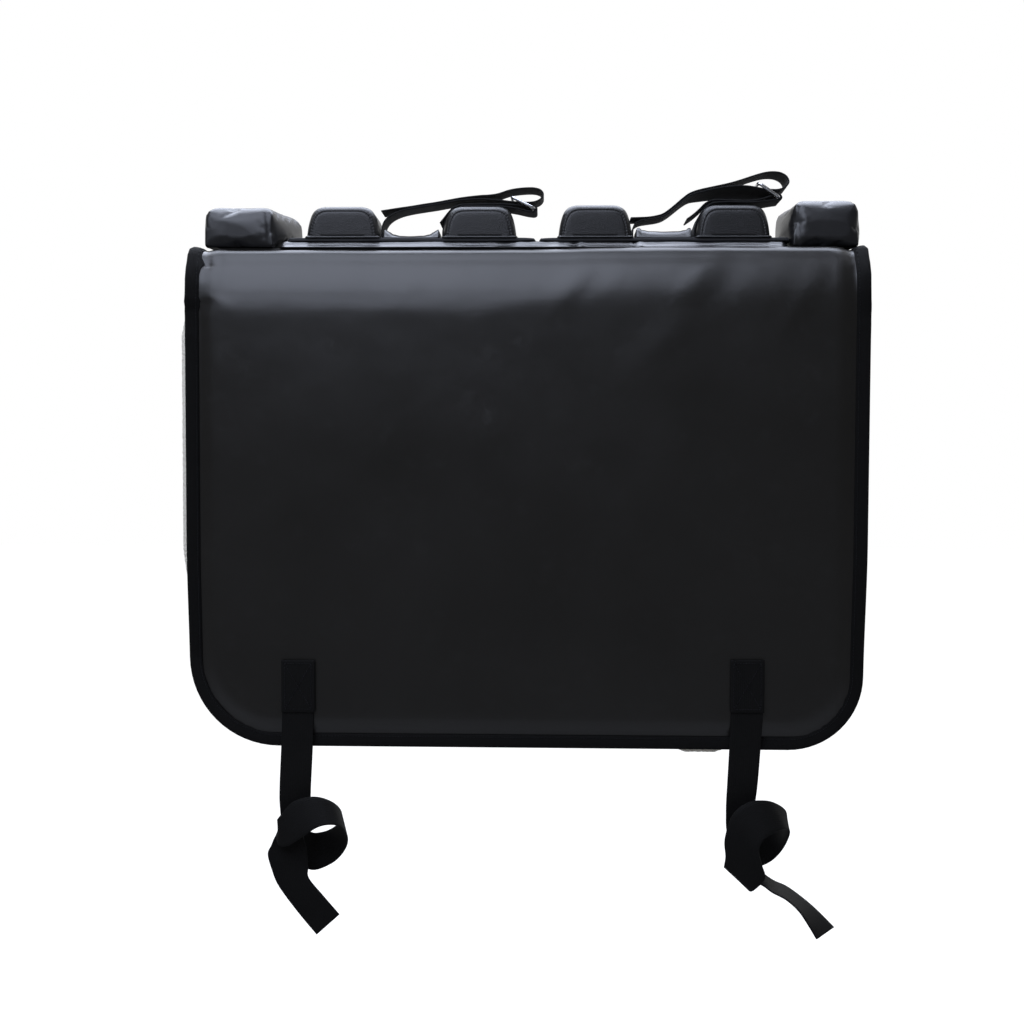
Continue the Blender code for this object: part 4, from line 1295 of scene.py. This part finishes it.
KNOT_RIGHT = (
    ((242.6, -69, -470.5), (280.2, -69, -470.5)),
    ((242.4, -69, -530), (280, -69, -530)),
    ((241, -69, -575), (277.6, -69, -575)),
    ((239, -69.5, -616), (274.6, -69.5, -616)),
    ((238, -69, -646), (272, -67, -642)),
    ((241, -62, -678), (271, -57, -673)),
    ((256, -53, -711), (275, -48, -683)),
    ((276, -49, -720), (289, -41, -684)),
    ((294, -51, -713), (303, -42, -677)),
    ((307, -60, -694), (311, -52, -666)),
    ((312, -73, -672), (308, -66, -647)),
    ((304, -87, -663), (292, -79, -634)),
    ((290, -95, -665), (277, -85, -630)),
    ((278, -99, -672), (261, -87, -632)),
    ((272, -100, -685), (243, -89, -646)),
    ((276, -99, -702), (234, -89, -674)),
    ((280, -97, -718), (235, -89, -695)),
    ((268, -92, -734), (234, -87, -707)),
    ((264, -84, -736), (237, -80, -709)),
    ((272, -78, -731), (254, -74, -705)),
    ((281, -80, -733), (279, -62, -721)),
    ((290, -90, -737), (297, -56, -734)),
    ((306, -92, -745), (313, -57, -741)),
    ((321, -90, -759), (335, -57, -757)),
    ((333, -87, -777), (352, -58, -772)),
    ((343, -84, -794), (369, -58, -789)),
)

webbing_dark = (0.0034, 0.0033, 0.0033)
webbing_light = (0.0084, 0.0082, 0.0080)
webbing_finish = woven_band("webbing", webbing_dark, webbing_light, 0.6, 2.4 * MM, 1.5 * MM)
for side, knot in (("left", KNOT_LEFT), ("right", KNOT_RIGHT)):
    one = smooth_path([Vector(a) * MM for a, _ in knot], 6)
    other = smooth_path([Vector(b) * MM for _, b in knot], 6)
    bm = strap_between(one, other, 7)
    strap = add_piece("tie_" + side, bm, webbing_finish, "webbing", "bottom_strap_" + side)
    add_wall(strap, WEBBING_THICKNESS, 0, 0.45 * MM)


# Strap patches
# Webbing sewn over the top end of each bottom strap with a crossed box of thread.

PATCHES = (("left", -267.3 * MM, -471.9 * MM), ("right", 261.4 * MM, -468.1 * MM))
PATCH_SIZE = (39.6 * MM, 62.2 * MM)
PATCH_THICKNESS = 1.4 * MM
PATCH_INNER = -70.2 * MM
SEAM_MARGIN = 4 * MM
BOX_STITCH = (3.3 * MM, 0.74, 0.4 * MM)

for side, x, top in PATCHES:
    half = PATCH_SIZE[0] / 2
    bottom = top - PATCH_SIZE[1]
    middle_y = PATCH_INNER - PATCH_THICKNESS / 2
    side_edge = [Vector((x - half, middle_y, z)) for z in (top, bottom)]
    one = even_path(side_edge, 3 * MM)
    other = [point + Vector((2 * half, 0, 0)) for point in one]
    bm = strap_between(one, other, 9)
    for vert in bm.verts:
        rise = noise.noise((vert.co.x * 90, 0, vert.co.z * 90)) * 0.15 * MM
        vert.co.y -= abs(rise)
    patch = add_piece("patch_" + side, bm, webbing_finish, "webbing", "strap_patch_" + side)
    add_wall(patch, PATCH_THICKNESS, 0, 0.4 * MM)
    bm = bmesh.new()
    left, right = x - half + SEAM_MARGIN, x + half - SEAM_MARGIN
    high, low = top - SEAM_MARGIN, bottom + SEAM_MARGIN
    box = [(left, high), (right, high), (right, low), (left, low), (left, high)]
    face_y = PATCH_INNER - PATCH_THICKNESS - 0.2 * MM
    for line in (box, [(left, high), (right, low)], [(right, high), (left, low)]):
        sew(bm, line, BOX_STITCH, lambda a, b: Vector((a, face_y, b)))
    add_piece("patch_stitches_" + side, bm, thread_finish, "webbing")


# Tabs and ladder-lock buckles
# On the inner flap: a doubled webbing tab, sewn at its top, holds each buckle,
# and the free end of a bottom strap is pulled through it.

# Middle line of a tab, and the columns and rows of a buckle's bars, in mm
TAB_PATH = (
    (69.0, -246), (69.0, -275), (69.0, -299), (67.4, -306.5), (65.9, -311.5), (65.8, -315.6),
    (67.4, -318.6), (70.0, -319.6), (72.6, -318.6), (74.2, -315.6), (74.1, -311.5),
    (72.6, -306.5), (71.0, -299), (71.0, -275), (71.0, -254),
)
BUCKLE_COLUMNS = (-25.0, -20.0, 20.0, 25.0)
BUCKLE_ROWS = (-313.8, -318.2, -326.2, -331.2, -339.2, -344.0, -352.0)
BUCKLE_WINDOWS = (1, 3)
BUCKLE_THICKNESS = 4 * MM
BUCKLE_LIP = 5 * MM


def moulded(name):
    """Moulded plastic with a fine skin."""
    finish = Finish(material(name), Roughness=0.42, Specular_IOR_Level=0.45)
    place = finish.place()
    skin = finish.noise(place, 1200.0, 3.0)
    cloud = finish.noise(place, 40.0, 4.0)
    return finish.shade(
        Base_Color=finish.between((0.009, 0.009, 0.010), (0.018, 0.018, 0.019), cloud),
        Roughness=skin * 0.1 + cloud * 0.08 + 0.34,
        Normal=finish.bump(skin, 0.06 * MM, 0.5),
    )


buckle_finish = moulded("buckle_plastic")
for side, x, _ in PATCHES:
    path = smooth_path([Vector((0, y * MM, z * MM)) for y, z in TAB_PATH], 4)
    half = Vector((WEBBING_WIDTH / 2, 0, 0))
    middle = Vector((x, 0, 0))
    one = [point + middle - half for point in path]
    other = [point + middle + half for point in path]
    bm = strap_between(one, other, 7)
    tab = add_piece("tab_" + side, bm, webbing_finish, "webbing", "buckle_tab_" + side)
    add_wall(tab, CRADLE_STRAP_THICKNESS, 0, 0.4 * MM)
    bm = bmesh.new()
    left, right = x - half.x + SEAM_MARGIN, x + half.x - SEAM_MARGIN
    box = [(left, -0.258), (right, -0.258), (right, -0.288), (left, -0.288), (left, -0.258)]
    sew(bm, box, BOX_STITCH, lambda a, b: Vector((a, 71.95 * MM, b)))
    add_piece("tab_stitches_" + side, bm, thread_finish, "webbing")
    bm = bmesh.new()
    rows = []
    for number, z in enumerate(BUCKLE_ROWS):
        lean = BUCKLE_LIP if number == len(BUCKLE_ROWS) - 1 else 0
        rows.append([bm.verts.new((x + a * MM, 70 * MM + lean, z * MM)) for a in BUCKLE_COLUMNS])
    for number in range(len(rows) - 1):
        for column in range(3):
            if number not in BUCKLE_WINDOWS or column != 1:
                upper, under = rows[number][column:column + 2], rows[number + 1][column:column + 2]
                bm.faces.new((*upper, *reversed(under)))
    buckle = add_piece("buckle_" + side, bm, buckle_finish, "buckle_plastic", "ladder_lock_" + side)
    add_wall(buckle, BUCKLE_THICKNESS, 0, 0.9 * MM, 3)


# Studio
# A plain pale floor far below, a bright backdrop all round, a soft light
# overhead and a large one in front, high on the left.

scene = bpy.context.scene
scene.view_settings.view_transform = "Standard"

bm = bmesh.new()
bmesh.ops.create_grid(bm, x_segments=1, y_segments=1, size=14)
bmesh.ops.translate(bm, vec=(0, 0, -1.35), verts=bm.verts)
floor = put("floor", mesh_of("floor", bm))
finish = Finish(material("floor"), Roughness=0.9, Specular_IOR_Level=0.1, Emission_Strength=1.0)
finish.shader.inputs["Base Color"].default_value = (0.25, 0.25, 0.25, 1)
glow = finish.between((0, 0, 0), (0.88, 0.88, 0.88), finish.node("LightPath"))
floor.data.materials.append(finish.shade(Emission_Color=glow))

# The sky lights the part more from behind than from the camera's side, and the
# camera itself sees it white
scene.world = bpy.data.worlds.new("studio")
sky = Finish(scene.world, "Background", Color=(1, 1, 1, 1))
_, depth, _ = sky.axes(sky.node("TexCoord", output="Generated"))
share = sky.node("MapRange", {}, {0: depth, 1: -0.25, 2: 0.35, 3: 0.12, 4: 0.95})
most = sky.node("Math", {"operation": "MAXIMUM"}, {0: share, 1: sky.node("LightPath")})
sky.shade(Strength=most)


def add_light(name, place, aim, width, height, radiance):
    """Cool rectangular lamp of a given brightness, hidden from the camera."""
    lamp = bpy.data.lights.new(name, "AREA")
    lamp.color = (0.82, 0.89, 1.08)
    lamp.shape = "RECTANGLE"
    lamp.size = width
    lamp.size_y = height
    lamp.energy = radiance * width * height * math.pi
    light = put(name, lamp)
    light.location = place
    light.rotation_euler = (Vector(aim) - Vector(place)).to_track_quat("-Z", "Y").to_euler()
    light.visible_camera = False


add_light("overhead", (-0.1, 0.8, 1.7), (-0.1, 0.8, 0), 2.4, 2.3, 6.0)
add_light("front_left", (-0.6, -1.6, 1.45), (0.0, 0, 0.0), 2.1, 1.9, 4.0)


# Camera
# It stands 1.5 m in front of the part, a little above its middle, and looks
# slightly down.

AIM = Vector((-0.0152, -0.0678, -0.2960))
DISTANCE = 1.5
YAW, PITCH, ROLL = math.radians(1.45), math.radians(2.5), math.radians(0.18)
flat = math.cos(PITCH)
forward = Vector((-math.sin(YAW) * flat, math.cos(YAW) * flat, -math.sin(PITCH)))
level = forward.cross(Vector((0, 0, 1))).normalized()
upright = level.cross(forward)
right = level * math.cos(ROLL) + upright * math.sin(ROLL)
up = upright * math.cos(ROLL) - level * math.sin(ROLL)
camera = put("camera", bpy.data.cameras.new("camera"))
camera.data.lens = 45
camera.data.sensor_width = 36
turned = Matrix((right, up, -forward)).transposed().to_4x4()
camera.matrix_world = Matrix.Translation(AIM - forward * DISTANCE) @ turned
scene.camera = camera
